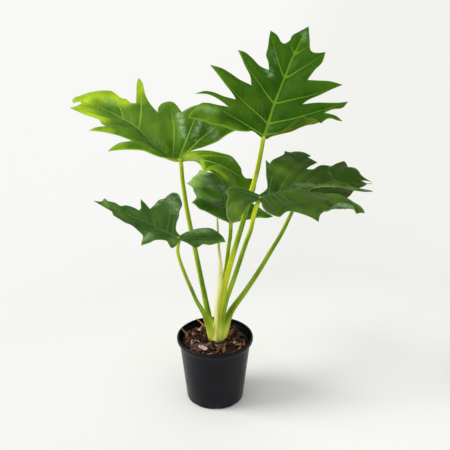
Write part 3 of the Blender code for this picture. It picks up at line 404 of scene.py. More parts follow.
# Each blade is drawn flat, in millimetres: across to the right of the midrib, and along it to the
# tip. The stalk joins it at 0, 0. "tip" is a pointed lobe end and "gap" the notch between two lobes.
# place is the joint in space; heading, rise and roll turn the blade in degrees; arch bends it down
# to the tip; fold and curl raise its two halves; folds are margins that are turned over.
LEAVES = {
    "a": dict(
        place=(73, 45, 424), heading=62, rise=40, roll=22, length=205, half=110, back=80,
        arch=-4, back_arch=0, fold_l=10, fold_r=10, curl_l=-8, curl_r=-8, wave=1.5, phase=0.4,
        rib=[(0, -60), (0, 0), (-5, 60), (-6, 140), (-2, 203)],
        folds=[dict(start=(2, 4), end=(72, 58), turn=150, radius=3, fade=12)],
        outline=[
            (0, 0, "gap"), (-10, 3), (-20, 5), (-28, 0), (-46, -6), (-64, -7), (-81, -11), (-95, -11),
            (-116, -15, "tip"), (-115, -4), (-108, 13), (-98, 19), (-83, 22), (-67, 26, "gap"),
            (-85, 31), (-102, 32), (-121, 25, "tip"), (-109, 35), (-96, 39), (-80, 39), (-61, 42, "gap"),
            (-69, 49), (-85, 59), (-102, 70), (-118, 79, "tip"), (-100, 81), (-85, 79), (-67, 75),
            (-48, 74, "gap"), (-55, 87), (-67, 98), (-78, 110), (-88, 120, "tip"), (-76, 121),
            (-62, 116), (-47, 109), (-32, 109, "gap"), (-38, 121), (-45, 130), (-47, 143), (-51, 159),
            (-53, 171, "tip"), (-41, 168), (-31, 160), (-25, 160, "gap"), (-20, 168), (-19, 178),
            (-12, 188), (-1, 203, "tip"), (8, 183), (16, 165), (26, 163), (39, 169, "tip"), (40, 150),
            (34, 135), (29, 115, "gap"), (44, 119), (62, 124), (82, 125, "tip"), (67, 110), (55, 97),
            (42, 84), (36, 74, "gap"), (56, 84), (83, 94), (99, 102, "tip"), (94, 89), (82, 82),
            (72, 72, "gap"), (88, 73), (102, 68, "tip"), (94, 66), (84, 66), (78, 62), (74, 55), (72, 47),
            (70, 39), (65, 32), (64, 24, "tip"), (50, 19), (36, 15), (22, 9), (11, 4)]),
    "b": dict(
        place=(-52, 75, 377.5), heading=143, rise=20, roll=0, length=230, half=100, back=90,
        arch=14, back_arch=55, fold_l=8, fold_r=28, curl_l=-14, curl_r=-16, wave=1.5, phase=2.0,
        rib=[(0, -60), (0, 0), (-11, 20), (-12, 36), (-3, 64), (7, 92), (12, 116), (11, 160), (2, 215)],
        folds=[dict(start=(9, -24), end=(50, -86), turn=140, radius=3, fade=14)],
        outline=[
            (-1, -3, "gap"), (-9, 7), (-22, 17), (-31, 31), (-38, 47), (-57, 60), (-74, 68),
            (-88, 74, "tip"), (-75, 78), (-54, 80), (-33, 74, "gap"), (-40, 97), (-52, 117),
            (-68, 133, "tip"), (-51, 133), (-35, 127, "gap"), (-35, 137), (-28, 150), (-33, 174),
            (-35, 205, "tip"), (-18, 205), (-3, 209, "gap"), (1, 217), (-13, 217, "tip"), (-7, 226),
            (4, 232), (12, 226), (26, 216), (38, 204), (47, 190), (47, 180), (44, 165), (47, 156),
            (45, 145), (49, 137, "gap"), (65, 150), (82, 164), (98, 174, "tip"), (92, 160), (81, 147),
            (70, 133), (58, 111), (52, 94, "gap"), (60, 100), (72, 102), (84, 94), (84, 83),
            (75, 64, "gap"), (88, 63), (100, 60), (112, 52), (114, 30), (112, 6), (110, -15, "tip"),
            (86, -13), (66, -13), (44, -8), (31, -3), (21, 1, "gap"), (34, -8), (45, -17), (58, -29),
            (68, -38), (71, -48), (72, -57, "tip"), (69, -64), (72, -70), (82, -74), (85, -82),
            (78, -91, "tip"), (62, -93), (44, -89), (28, -81), (14, -69), (7, -56), (6, -45), (13, -35),
            (16, -26), (15, -18), (9, -11)]),
    "c": dict(
        place=(-50, -60, 311), heading=150, rise=8, roll=0, length=156, half=80, back=80,
        arch=0, back_arch=10, fold_l=0, fold_r=16, curl_l=-10, curl_r=-8, wave=1.5, phase=1.0,
        rib=[(0, -60), (0, 0), (2, 27), (5, 56), (5, 110), (5, 156)],
        outline=[
            (-5, -4, "gap"), (-13, -6), (-23, -7), (-30, -5), (-25, 3), (-19, 12), (-27, 24), (-38, 27),
            (-51, 33, "tip"), (-43, 38), (-34, 42), (-27, 48), (-21, 61), (-16, 74), (-16, 86),
            (-13, 99), (-10, 111), (-3, 119), (0, 133), (3, 147), (5, 158, "tip"), (10, 147), (18, 147),
            (16, 139), (18, 127), (16, 116), (21, 110), (23, 100), (22, 86, "gap"), (28, 87), (36, 93),
            (45, 99, "tip"), (42, 91), (37, 81), (33, 74, "gap"), (44, 74), (58, 75), (66, 70),
            (76, 70), (86, 68, "tip"), (86, 59), (78, 49), (66, 38), (51, 33), (40, 27), (26, 22),
            (12, 14), (5, 3, "gap"), (15, -1), (25, -7), (34, -15), (42, -26), (42, -38), (38, -50),
            (31, -59, "tip"), (25, -53), (17, -48), (11, -43), (7, -35), (-8, -32, "tip"), (-6, -24),
            (-4, -14)]),
    "d": dict(
        place=(25, 70, 272), heading=100, rise=12, roll=0, length=175, half=90, back=60,
        arch=10, back_arch=0, fold_l=10, fold_r=10, curl_l=-12, curl_r=-12, wave=1.5, phase=0.0,
        rib=[(0, -60), (0, 0), (1, 50), (7, 110), (12, 178)],
        outline=[
            (0, 0, "gap"), (-8, 6), (-15, 11), (-23, 18), (-36, 31), (-45, 38), (-49, 49),
            (-54, 58, "tip"), (-48, 65), (-44, 75), (-46, 90), (-46, 103), (-53, 118, "tip"),
            (-45, 127), (-40, 138), (-31, 149), (-24, 166, "tip"), (-14, 160), (-5, 156, "gap"),
            (0, 168), (12, 182, "tip"), (16, 165), (20, 150, "gap"), (28, 149), (38, 148, "tip"),
            (35, 136), (32, 122, "gap"), (40, 116), (47, 108, "tip"), (43, 94), (38, 82, "gap"),
            (46, 76), (54, 66, "tip"), (48, 55), (42, 45, "gap"), (51, 32), (58, 18), (68, 1, "tip"),
            (58, -1), (44, 3), (31, 2), (15, 2)]),
    "e": dict(
        place=(67, -30, 361.5), heading=20, rise=4, roll=0, length=190, half=90, back=80,
        arch=20, back_arch=15, fold_l=30, fold_r=4, curl_l=-20, curl_r=-20, wave=1.5, phase=2.6,
        rib=[(0, -60), (0, 0), (-6, 26), (-15, 70), (-20, 108), (-14, 149), (-2, 185)],
        folds=[dict(start=(62, 72), end=(63, 126), turn=130, radius=3, fade=12)],
        outline=[
            (-6, 1, "gap"), (-12, 12), (-20, 19), (-42, 25), (-62, 32), (-79, 38, "tip"),
            (-68, 40, "gap"), (-76, 48), (-81, 60), (-86, 69), (-94, 73, "tip"), (-92, 82), (-96, 90),
            (-97, 99), (-93, 106), (-83, 112, "tip"), (-81, 106, "gap"), (-66, 116, "tip"), (-59, 102),
            (-52, 93, "gap"), (-52, 104), (-59, 118), (-57, 133, "tip"), (-49, 128), (-40, 129),
            (-29, 128, "gap"), (-21, 146), (-12, 158), (-9, 168), (-3, 188, "tip"), (4, 170), (2, 152),
            (-9, 134), (-14, 112), (-8, 89), (5, 75, "gap"), (12, 94), (19, 112), (30, 127), (40, 132),
            (50, 138), (60, 140), (69, 139, "tip"), (68, 130), (73, 120), (77, 107), (76, 94), (69, 83),
            (62, 76, "gap"), (69, 66), (84, 57, "tip"), (75, 50), (64, 37), (58, 30), (54, 20),
            (63, 5, "tip"), (57, -2), (45, -8), (29, -8), (18, -5), (8, -6, "gap"), (12, -20),
            (22, -30), (38, -44), (44, -54), (42, -62, "tip"), (28, -62), (10, -57), (-5, -51),
            (-17, -43), (-27, -41), (-33, -31), (-24, -17), (-14, -7)]),
    "f": dict(
        place=(128.5, 50, 325), heading=36, rise=8, roll=0, length=130, half=80, back=60,
        arch=10, back_arch=0, fold_l=20, fold_r=6, curl_l=-12, curl_r=-12, wave=1.0, phase=1.6,
        rib=[(0, -60), (0, 0), (-2, 40), (8, 85), (34, 116)],
        outline=[
            (0, 0, "gap"), (-14, 4), (-30, 6), (-46, 2), (-58, -6, "tip"), (-60, 8), (-54, 20),
            (-44, 26, "gap"), (-54, 34), (-66, 38, "tip"), (-60, 50), (-48, 56), (-38, 62, "gap"),
            (-39, 76), (-33, 92), (-33, 104), (-31, 117, "tip"), (-25, 116), (-15, 112, "gap"),
            (-7, 120), (2, 120), (12, 117), (22, 118), (32, 122, "tip"), (21, 109, "gap"),
            (33, 113, "tip"), (39, 102), (41, 91), (43, 76), (51, 62), (56, 50, "tip"), (50, 38),
            (44, 24, "gap"), (54, 14), (62, 0, "tip"), (48, -2), (32, 2), (16, 4)]),
}

# Stalk routes from the crown to the blade, in millimetres, with the radius at the foot, a quarter
# of the way up and at the top
STALKS = {
    "a": dict(girth=(4.8, 4.7, 3.3), route=[
        (4, 2, 100), (6, 5, 122), (8, 7, 147), (14, 12, 185), (21.5, 16, 218), (30.3, 20, 251),
        (39.7, 24, 284), (48, 28, 315), (54, 31, 339), (61, 34, 363), (66, 38, 385), (73, 45, 424)]),
    "b": dict(girth=(4.4, 4.0, 3.1), route=[
        (0, 2, 100), (-6, 9, 122), (-12, 17, 147), (-18.2, 25, 178), (-23, 31, 202), (-31.5, 42, 244),
        (-37.8, 50, 274), (-43.4, 58, 302), (-46.8, 64, 324), (-50, 70, 347), (-52, 75, 377.5)]),
    "c": dict(girth=(4.6, 3.2, 2.3), route=[
        (0, 0, 100), (-6, -4, 118), (-12, -12, 142), (-18, -18, 163), (-28.3, -27, 189), (-34.7, -34, 211),
        (-40.9, -41, 232), (-46.2, -48, 252), (-51, -54, 272), (-53.6, -58, 291), (-50, -60, 311)]),
    "d": dict(girth=(3.6, 3.3, 3.1), route=[
        (3, 4, 100), (5, 12, 125), (8.3, 22, 153), (11.6, 31, 175), (15, 40, 197), (18, 46, 212),
        (20, 52, 226), (21.9, 58, 241), (24.2, 64, 255), (25, 70, 272)]),
    "e": dict(girth=(4.8, 4.2, 3.4), route=[
        (5, -1, 100), (9, -4, 122), (11.5, -7, 145), (17.5, -11, 180), (23, -13, 199), (28.6, -15, 218),
        (33.6, -17, 236), (43.3, -21, 272), (48.3, -23, 290), (53.4, -25, 307), (60, -28, 341),
        (67, -30, 361.5)]),
    "f": dict(girth=(6.2, 4.1, 2.6), route=[
        (6, 3, 100), (15, 6, 121), (23.3, 11, 143), (29.4, 13, 154), (38.8, 16, 167), (48.3, 19, 180),
        (68.1, 26, 210), (86.4, 33, 241), (103, 38, 270), (119, 45, 304), (128.5, 50, 325)]),
}

# The cream sheath and the rolled young leaf that rises out of it
SHEATH = dict(girth=(3.2, 4.2, 2.9), route=[
    (1, -4, 100), (2, -3, 136), (3, 0, 166), (7, 6, 193), (8.3, 11, 212), (8.7, 16, 229.5)])
YOUNG_LEAF = [(8.7, 16, 229.5), (6.5, 22, 249), (5.2, 28, 269), (4.3, 34, 286), (3.9, 38, 295.5),
              (3.8, 39.2, 298)]

# Loose pieces on the soil: centre and length in millimetres
BARK = {"bark_chunk": ((-23, -29.5), 33), "bark_curl": ((26, 9), 20), "bark_chip": ((31, -14), 9),
        "twig_back": ((-22.5, 41), 21), "twig_left": ((-47.5, 13.5), 18)}


def unit(vectors):
    """The same directions at a length of 1."""
    return vectors / np.linalg.norm(vectors, axis=-1, keepdims=True)


def run_along(line):
    """How far along a line each of its points is."""
    return np.concatenate([[0], np.cumsum(np.linalg.norm(np.diff(line, axis=0), axis=1))])


def smooth_route(points, step):
    """Points at even steps along a Catmull-Rom curve through the given ones."""
    points = np.asarray(points, float)
    before = 2 * points[0] - points[1]
    after = 2 * points[-1] - points[-2]
    p = np.vstack([before, points, after])
    t = np.linspace(0, 1, 12, endpoint=False)[:, None]
    fine = []
    for i in range(1, len(p) - 2):
        a, b, c, d = p[i - 1], p[i], p[i + 1], p[i + 2]
        fine.append(0.5 * (2 * b + (c - a) * t + (2 * a - 5 * b + 4 * c - d) * t ** 2
                           + (3 * b - a - 3 * c + d) * t ** 3))
    fine = np.vstack(fine + [points[-1:]])
    run = run_along(fine)
    count = max(2, int(round(run[-1] / step)) + 1)
    even = np.linspace(0, run[-1], count)
    return np.stack([np.interp(even, run, fine[:, k]) for k in range(points.shape[1])], axis=1)


def smooth_step(value, low, high):
    """0 below low, 1 above high and a soft rise between."""
    share = np.clip((np.asarray(value, float) - low) / (high - low), 0, 1)
    return share * share * (3 - 2 * share)


# Shader helpers

class Nodes:
    """Short calls for the nodes of one tree."""

    def __init__(self, tree):
        self.tree = tree

    def node(self, kind, sockets=None, **settings):
        """A new node with its settings and what goes into its sockets."""
        made = self.tree.nodes.new(kind)
        for key, value in settings.items():
            setattr(made, key, value)
        for key, source in (sockets or {}).items():
            self.plug(source, made.inputs[key])
        return made

    def plug(self, source, socket):
        """Link a socket, or set a plain value."""
        if isinstance(source, bpy.types.NodeSocket):
            self.tree.links.new(source, socket)
        elif socket.type == "RGBA":
            socket.default_value = (*source, 1.0)
        else:
            socket.default_value = source

    def ramp(self, value, low, high, start=0.0, end=1.0):
        """Map low..high to start..end, smoothly and clamped."""
        sockets = {"Value": value, "From Min": low, "From Max": high, "To Min": start, "To Max": end}
        return self.node("ShaderNodeMapRange", sockets, interpolation_type="SMOOTHSTEP").outputs["Result"]

    def math(self, operation, a, b=0.0):
        return self.node("ShaderNodeMath", {0: a, 1: b}, operation=operation).outputs[0]

    def vector(self, operation, a, b=(0, 0, 0)):
        return self.node("ShaderNodeVectorMath", {0: a, 1: b}, operation=operation)


class Shader(Nodes):
    """A principled material."""

    def __init__(self, name):
        self.material = bpy.data.materials.new(name)
        self.material.use_nodes = True
        super().__init__(self.material.node_tree)
        self.principled = self.tree.nodes["Principled BSDF"]
        self.here = self.place()

    def place(self, scale=(1, 1, 1)):
        """Object coordinates in metres, scaled."""
        coordinates = self.node("ShaderNodeTexCoord").outputs["Object"]
        return self.node("ShaderNodeMapping", {"Vector": coordinates, "Scale": scale}).outputs["Vector"]

    def noise(self, scale, detail, roughness=0.55, distortion=0.0, vector=None):
        """Cloudy noise, by default over the place."""
        sockets = {"Vector": vector or self.here, "Scale": scale, "Detail": detail,
                   "Roughness": roughness, "Distortion": distortion}
        return self.node("ShaderNodeTexNoise", sockets).outputs["Fac"]

    def patches(self, scale, detail, low, high, start=0.0, end=1.0):
        """Soft patches of noise, mapped as ramp() does."""
        return self.ramp(self.noise(scale, detail), low, high, start, end)

    def streaks(self):
        """Long streaks that follow the grain of a stalk."""
        return self.noise(2.2, 3, vector=self.attribute("grain", "Vector"))

    def net(self):
        """A fine net of raised cells."""
        sockets = {"Vector": self.here, "Scale": NET_SCALE}
        cells = self.node("ShaderNodeTexVoronoi", sockets, feature="DISTANCE_TO_EDGE")
        return self.ramp(cells.outputs["Distance"], 0.0, 0.12)

    def attribute(self, name, kind="Fac"):
        """What add_values() stored for each vertex."""
        return self.node("ShaderNodeAttribute", attribute_name=name).outputs[kind]

    def part(self, axis, vector=None):
        """One coordinate, by default of the place in metres."""
        return self.node("ShaderNodeSeparateXYZ", {0: vector or self.here}).outputs[axis]

    def mix(self, share, a, b, blend="MIX"):
        sockets = {0: share, 6: a, 7: b}
        return self.node("ShaderNodeMix", sockets, data_type="RGBA", blend_type=blend).outputs[2]

    def bump(self, value, strength, distance):
        """Small relief of the surface: a strength, and a height in metres."""
        sockets = {"Height": value, "Strength": strength, "Distance": distance}
        relief = self.node("ShaderNodeBump", sockets).outputs["Normal"]
        self.plug(relief, self.principled.inputs["Normal"])

    def set(self, **sockets):
        """Plug in the surface and give back the finished material."""
        names = dict(colour="Base Color", roughness="Roughness", specular="Specular IOR Level",
                     subsurface="Subsurface Weight", radius="Subsurface Radius", scale="Subsurface Scale")
        for key, value in sockets.items():
            self.plug(value, self.principled.inputs[names[key]])
        return self.material


def vein_pattern(s):
    """Thin slanted lines between the side veins, and the soft ribs that they leave."""
    uv = s.node("ShaderNodeUVMap", uv_map="veins").outputs["UV"]
    run = s.part("X", uv)
    beside = s.part("Y", uv)
    drift = s.math("MULTIPLY", s.noise(55, 2), FINE_VEIN_DRIFT)
    slant = s.math("ADD", s.math("SUBTRACT", run, s.math("MULTIPLY", beside, FINE_VEIN_SLANT)), drift)
    wave = s.math("SINE", s.math("MULTIPLY", slant, 2 * np.pi / FINE_VEIN_STEP))
    return s.ramp(wave, 0.80, 1.0), wave


def toned(s, body, dark, glow):
    """The blade's colour with its strokes of painted light, shade, sheen and rim light over it, broken up
    so that none has a clear end.
    """
    cloudy = s.patches(36, 4, 0.33, 0.64, 0.6, 1.0)
    body = s.mix(s.math("MULTIPLY", s.attribute("glow"), cloudy), body, glow)
    # Painted shade: a darker green where shade falls
    body = s.mix(s.attribute("painted_shade"), body, tuple(PAINTED_SHADE_DARKNESS * c for c in dark))
    # Painted highlight: patches of pale sheen
    patchy = s.patches(150, 4, 0.38, 0.60, 0.15, 1.0)
    body = s.mix(s.math("MULTIPLY", s.attribute("painted_sheen"), patchy), body, PAINTED_SHEEN_COLOUR)
    # Painted rim light: the margin takes the glow tint where the edge strokes lie
    margin = s.ramp(s.attribute("rim"), 3.2, 0.4)
    return s.mix(s.math("MULTIPLY", s.attribute("edge"), margin), body, glow)


# The materials of a blade each take what they need of its looks

def leaf_material(name, dark, light, glow, vein, rough, veins, fine, **_):
    """Waxy upper side: light veins, a painted rim highlight along its margin, painted light and shade,
    cloudy green and a fine net.
    """
    s = Shader(name)
    cloud = s.patches(24, 4, 0.34, 0.66)
    body = s.mix(cloud, dark, light)
    patches = s.patches(95, 3, 0.40, 0.72, 0.0, 0.30)
    body = s.mix(patches, body, light)
    # Painted shade and light of the relief: darker along the sunken veins, lighter on the raised fields
    fields = s.ramp(s.attribute("vein"), 1.0, 9.0, 0.0, 0.4)
    body = s.mix(fields, s.mix(0.35, body, dark), light)
    body = toned(s, body, dark, glow)
    lines, wave = vein_pattern(s)
    body = s.mix(s.math("MULTIPLY", lines, fine), body, vein)
    specks = s.patches(520, 2, 0.35, 0.7, 0.0, 0.18)
    body = s.mix(specks, body, light)
    # Painted shade: veins turn dark green where the vein-shade strokes lie
    line = s.mix(s.attribute("painted_vein_shade"), vein, tuple(PAINTED_SHADE_DARKNESS * c for c in dark))
    on_vein = s.ramp(s.attribute("vein"), 1.1, -0.1)
    body = s.mix(s.math("MULTIPLY", on_vein, veins), body, line)
    # Painted rim highlight: a pale margin all round
    rim = s.ramp(s.attribute("rim"), 1.3, 0.2, 0.0, 0.5)
    body = s.mix(rim, body, vein)
    gloss = s.patches(60, 3, 0.3, 0.7, rough - 0.08, rough + 0.08)
    ribs = s.math("MULTIPLY", wave, s.patches(40, 2, 0.35, 0.65, -0.05, -0.35))
    relief = s.math("ADD", s.math("MULTIPLY", s.net(), 0.12), ribs)
    relief = s.math("ADD", relief, s.math("MULTIPLY", s.noise(110, 3), 0.9))
    s.bump(relief, 0.5, 0.0008)
    return s.set(colour=body, roughness=gloss, specular=0.09, **LEAF_INSIDE)


def underside_material(name, under, pale, dark, glow, **_):
    """The duller, paler lower side of a blade."""
    s = Shader(name)
    body = s.mix(s.patches(30, 3, 0.3, 0.7), under, pale)
    # The strokes of painted light, shade, sheen and rim light, as on the upper side
    body = toned(s, body, tuple(UNDER_PAINTED_SHADE_SCALE * c for c in dark), glow)
    veins = s.ramp(s.attribute("vein"), 1.2, -0.1, 0.0, 0.7)
    body = s.mix(veins, body, pale)
    s.bump(s.net(), 0.25, 0.0005)
    return s.set(colour=body, roughness=0.55, specular=0.15, **LEAF_INSIDE)


def edge_material(name, vein, pale, **_):
    """The cut edge of a blade, softly mottled."""
    s = Shader(name)
    body = s.mix(s.patches(90, 3, 0.3, 0.7), vein, pale)
    s.bump(s.noise(500, 2), 0.12, 0.0004)
    return s.set(colour=body, roughness=0.5, **EDGE_INSIDE)


def stalk_material(name):
    """Satin green with long streaks, yellower where it is tinted, with painted light and shade on its
    sides, creamy at the foot.
    """
    s = Shader(name)
    streaks = s.streaks()
    body = s.mix(s.ramp(streaks, 0.36, 0.64), STALK_DARK, STALK_LIGHT)
    # The tint holds the stalk's yellowing, with painted light on its lit side and painted shade on the
    # other
    body = s.mix(s.attribute("tint"), body, STALK_YELLOW)
    body = s.mix(s.patches(14, 2, 0.35, 0.65, 0.0, 0.25), body, STALK_YELLOW)
    foot = s.ramp(s.part("Z"), *FOOT_HEIGHTS, 0.0, 0.95)
    body = s.mix(foot, body, STALK_FOOT)
    skirt = s.ramp(s.part("Z"), *SKIRT_HEIGHTS, 0.0, 0.9)
    skirt = s.math("MULTIPLY", skirt, s.patches(320, 3, 0.36, 0.60))
    body = s.mix(skirt, body, STALK_SCAR)
    dots = s.patches(900, 1, 0.70, 0.78, 0.0, 0.35)
    body = s.mix(dots, body, STALK_YELLOW)
    s.bump(s.math("ADD", streaks, s.noise(700, 2)), 0.25, 0.0004)
    return s.set(colour=body, roughness=0.42, specular=0.10, **STALK_INSIDE)


def sheath_material(name):
    """Cream with long streaks, greener at the foot and where the young leaf comes out."""
    s = Shader(name)
    streaks = s.streaks()
    body = s.mix(s.ramp(streaks, 0.35, 0.65), *SHEATH_SHADES)
    low = s.mix(s.ramp(streaks, 0.38, 0.58), *SHEATH_FOOT_SHADES)
    body = s.mix(s.ramp(s.part("Z"), *SHEATH_FOOT_HEIGHTS, 0.0, 0.8), body, low)
    body = s.mix(s.ramp(s.part("Z"), *SHEATH_END_HEIGHTS), body, YOUNG_GREEN)
    s.bump(streaks, 0.2, 0.0004)
    return s.set(colour=body, roughness=0.5, specular=0.15, **SHEATH_INSIDE)


def pot_material(name):
    """Black moulded plastic: fine grain, faint scuffs and a little dust low down."""
    s = Shader(name)
    body = s.mix(s.patches(35, 4, 0.35, 0.7), *POT_SHADES)
    scuffs = s.ramp(s.noise(260, 4, 0.7, vector=s.place(SCUFF_SCALE)), 0.68, 0.82, 0.0, 0.22)
    body = s.mix(scuffs, body, POT_SCUFF)
    low = s.ramp(s.part("Z"), 0.02, 0.0, 0.0, 0.25)
    body = s.mix(s.math("MULTIPLY", low, s.patches(90, 4, 0.45, 0.7)), body, POT_DUST)
    rough = s.patches(120, 4, 0.3, 0.7, 0.30, 0.38)
    s.bump(s.noise(1400, 2), 0.12, 0.0003)
    return s.set(colour=body, roughness=rough, specular=0.17)


def earth_material(name):
    """Dark crumbly soil with lighter crumbs."""
    s = Shader(name)
    body = s.mix(s.ramp(s.noise(180, 5, 0.65), 0.3, 0.7), EARTH_DARK, EARTH_LIGHT)
    body = s.mix(s.patches(700, 3, 0.58, 0.74, 0.0, 0.6), body, EARTH_CRUMBS)
    s.bump(s.noise(900, 5, 0.7), 0.8, 0.001)
    return s.set(colour=body, roughness=0.95, specular=0.2)


def bark_material(name):
    """Each chip has its own tone from its colour attribute, with grain and a rough face."""
    s = Shader(name)
    tone = s.attribute("tone", "Color")
    grain = s.noise(650, 5, 0.7, 0.4)
    body = s.mix(s.ramp(grain, 0.34, 0.74), tone, BARK_DARK)
    light = s.patches(330, 4, 0.50, 0.74, 0.0, 0.55)
    body = s.mix(light, body, s.mix(1.0, tone, BARK_LIFT, "MULTIPLY"))
    s.bump(grain, 0.8, 0.0009)
    return s.set(colour=body, roughness=0.8, specular=0.25)


# Mesh helpers

def mesh_piece(name, vertices, faces, materials, smooth_angle=None):
    """An object with a new mesh, in metres."""
    mesh = bpy.data.meshes.new(name)
    mesh.from_pydata([tuple(v) for v in vertices], [], [tuple(int(i) for i in f) for f in faces])
    for material in materials:
        mesh.materials.append(material)
    if smooth_angle:
        shade_smooth(mesh, smooth_angle)
    return add_object(name, mesh)


def add_object(name, data):
    obj = bpy.data.objects.new(name, data)
    bpy.context.scene.collection.objects.link(obj)
    return obj


def shade_smooth(mesh, angle):
    """Shade a mesh smooth, apart from edges sharper than the angle in degrees."""
    mesh.shade_smooth()
    mesh.set_sharp_from_angle(angle=np.radians(angle))


def apply_modifiers(obj, angle):
    """Bake the modifiers into the mesh and shade it."""
    evaluated = obj.evaluated_get(bpy.context.evaluated_depsgraph_get())
    mesh = bpy.data.meshes.new_from_object(evaluated)
    obj.modifiers.clear()
    obj.data = mesh
    shade_smooth(mesh, angle)


def add_values(obj, name, values, kind="FLOAT", field="value"):
    """A number, vector or colour for each vertex."""
    attribute = obj.data.attributes.new(name, kind, "POINT")
    attribute.data.foreach_set(field, np.asarray(values, np.float32).ravel())


def carry(piece, *nodes, slot):
    """The piece stands for its CAD nodes and rides with them."""
    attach(piece, "root")
    if nodes:
        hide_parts(*nodes)
    return piece


# Leaf surface, the same as that of the solids

def leaf_axes(leaf):
    """Directions of a blade in space: to its tip, to its right and out of its upper face."""
    heading, rise, roll = np.radians([leaf["heading"], leaf["rise"], leaf["roll"]])
    tip = np.array([np.cos(heading) * np.cos(rise), np.sin(heading) * np.cos(rise), np.sin(rise)])
    side = np.array([np.sin(heading), -np.cos(heading), 0.0])
    face = np.cross(side, tip)
    return (tip, side * np.cos(roll) - face * np.sin(roll), side * np.sin(roll) + face * np.cos(roll))


def rib_across(leaf, along):
    """How far to the right the midrib is, along the blade."""
    rib = np.array(leaf["rib"], float)
    return np.interp(along, rib[:, 1], rib[:, 0])


def fold_over(fold, across, along, lift):
    """Turn over what lies to the right of the fold line, round a small radius."""
    (a0, b0), (a1, b1) = fold["start"], fold["end"]
    length = np.hypot(a1 - a0, b1 - b0)
    da, db = (a1 - a0) / length, (b1 - b0) / length
    run = (across - a0) * da + (along - b0) * db
    past = (across - a0) * db - (along - b0) * da
    fade = smooth_step(np.minimum(run, length - run), 0, fold["fade"])
    angle = np.maximum(np.radians(fold["turn"]) * fade, 1e-6)
    radius = fold["radius"]
    turn = np.clip(past, 0, radius * angle) / radius
    rest = np.clip(past - radius * angle, 0, None)
    folded = past > 0
    out = np.where(folded, radius * np.sin(turn) + rest * np.cos(turn) - lift * np.sin(turn), past)
    raised = radius * (1 - np.cos(turn)) + rest * np.sin(turn)
    lift = np.where(folded, lift * np.cos(turn) + raised, lift)
    return a0 + run * da + out * db, b0 + run * db - out * da, lift


def leaf_surface(leaf, across, along, relief=0.0):
    """Points in space, in metres, of flat blade points given in millimetres."""
    across = np.asarray(across, float)
    along = np.asarray(along, float)
    edge = np.clip(np.abs(across) / leaf["half"], 0, 1.3) ** 2
    ripple = 2 * np.pi * along / WAVE_LENGTH + WAVE_SHIFT * np.sign(across) + leaf["phase"]
    lift = leaf["wave"] * edge * np.sin(ripple) + relief
    for fold in leaf.get("folds", []):
        across, along, lift = fold_over(fold, across, along, lift)
    steps = (np.arange(BEND_STEPS) + 0.5) / BEND_STEPS
    ahead = np.clip(along, 0, None) / leaf["length"]
    behind = np.clip(-along, 0, None) / leaf["back"]
    droop = np.radians(leaf["arch"]) * ahead - np.radians(leaf["back_arch"]) * behind
    forward = (np.cos(droop[:, None] * steps) * along[:, None]).mean(axis=1)
    upward = -(np.sin(droop[:, None] * steps) * along[:, None]).mean(axis=1)
    rib = rib_across(leaf, along)
    reach = np.abs(across - rib)
    right = across >= rib
    fold = np.radians(np.where(right, leaf["fold_r"], leaf["fold_l"]))
    curl = np.radians(np.where(right, leaf["curl_r"], leaf["curl_l"]))
    slope = fold[:, None] + curl[:, None] * reach[:, None] * steps / leaf["half"]
    out = rib + np.where(right, 1, -1) * (np.cos(slope) * reach[:, None]).mean(axis=1)
    up = (np.sin(slope) * reach[:, None]).mean(axis=1) + lift
    tip, side, face = leaf_axes(leaf)
    forward = forward + up * np.sin(droop)
    upward = upward + up * np.cos(droop)
    place = np.array(leaf["place"], float)
    return (place + forward[:, None] * tip + out[:, None] * side + upward[:, None] * face) * MM


def outline_points(leaf, step):
    """The closed flat outline at even steps: curves between its corners, which stay sharp."""
    outline = leaf["outline"]
    corners = [i for i, point in enumerate(outline) if len(point) == 3]
    points = []
    for k, start in enumerate(corners):
        stop = corners[(k + 1) % len(corners)]
        count = (stop - start) % len(outline)
        run = [outline[(start + i) % len(outline)][:2] for i in range(count + 1)]
        points.extend(smooth_route(run, step)[:-1])
    return np.array(points + points[:1])


def inside(points, closed):
    """Which points lie inside the closed outline."""
    x, y = points[:, 0][:, None], points[:, 1][:, None]
    (x0, y0), (x1, y1) = closed[:-1].T, closed[1:].T
    crosses = (y0 > y) != (y1 > y)
    slant = (x1 - x0) * (y - y0) / np.where(y1 == y0, 1e-9, y1 - y0) + x0
    return (crosses & (x < slant)).sum(axis=1) % 2 == 1


def nearest_on(points, line):
    """Distance of each point to a polyline, and how far along it the nearest place is."""
    a, b = line[:-1][None], line[1:][None]
    p = points[:, None, :]
    ab = b - a
    share = np.clip(((p - a) * ab).sum(-1) / np.maximum((ab ** 2).sum(-1), 1e-9), 0, 1)
    gap = np.linalg.norm(p - (a + ab * share[..., None]), axis=-1)
    best = gap.argmin(axis=1)
    rows = np.arange(len(points))
    return gap[rows, best], (best + share[rows, best]) / (len(line) - 1)


def fold_rows(leaf, closed, step):
    """Points in close rows along the folds, where the blade turns over."""
    rows = []
    for fold in leaf.get("folds", []):
        start, end = np.array(fold["start"], float), np.array(fold["end"], float)
        length = np.linalg.norm(end - start)
        ahead = (end - start) / length
        right = np.array([ahead[1], -ahead[0]])
        arc = fold["radius"] * np.radians(fold["turn"])
        for past in np.linspace(0, arc, FOLD_ROWS):
            for run in np.linspace(0.01, 0.99, int(length / step)) * length:
                rows.append(start + ahead * run + right * past)
    rows = np.array(rows).reshape(-1, 2)
    return rows[inside(rows, closed) & (nearest_on(rows, closed)[0] > 1.2)]


def main_vein(leaf):
    """Flat points along the midrib."""
    along = np.append(np.arange(2, VEIN_END * leaf["length"], VEIN_STEP), VEIN_END * leaf["length"])
    return np.stack([rib_across(leaf, along), along], axis=1)


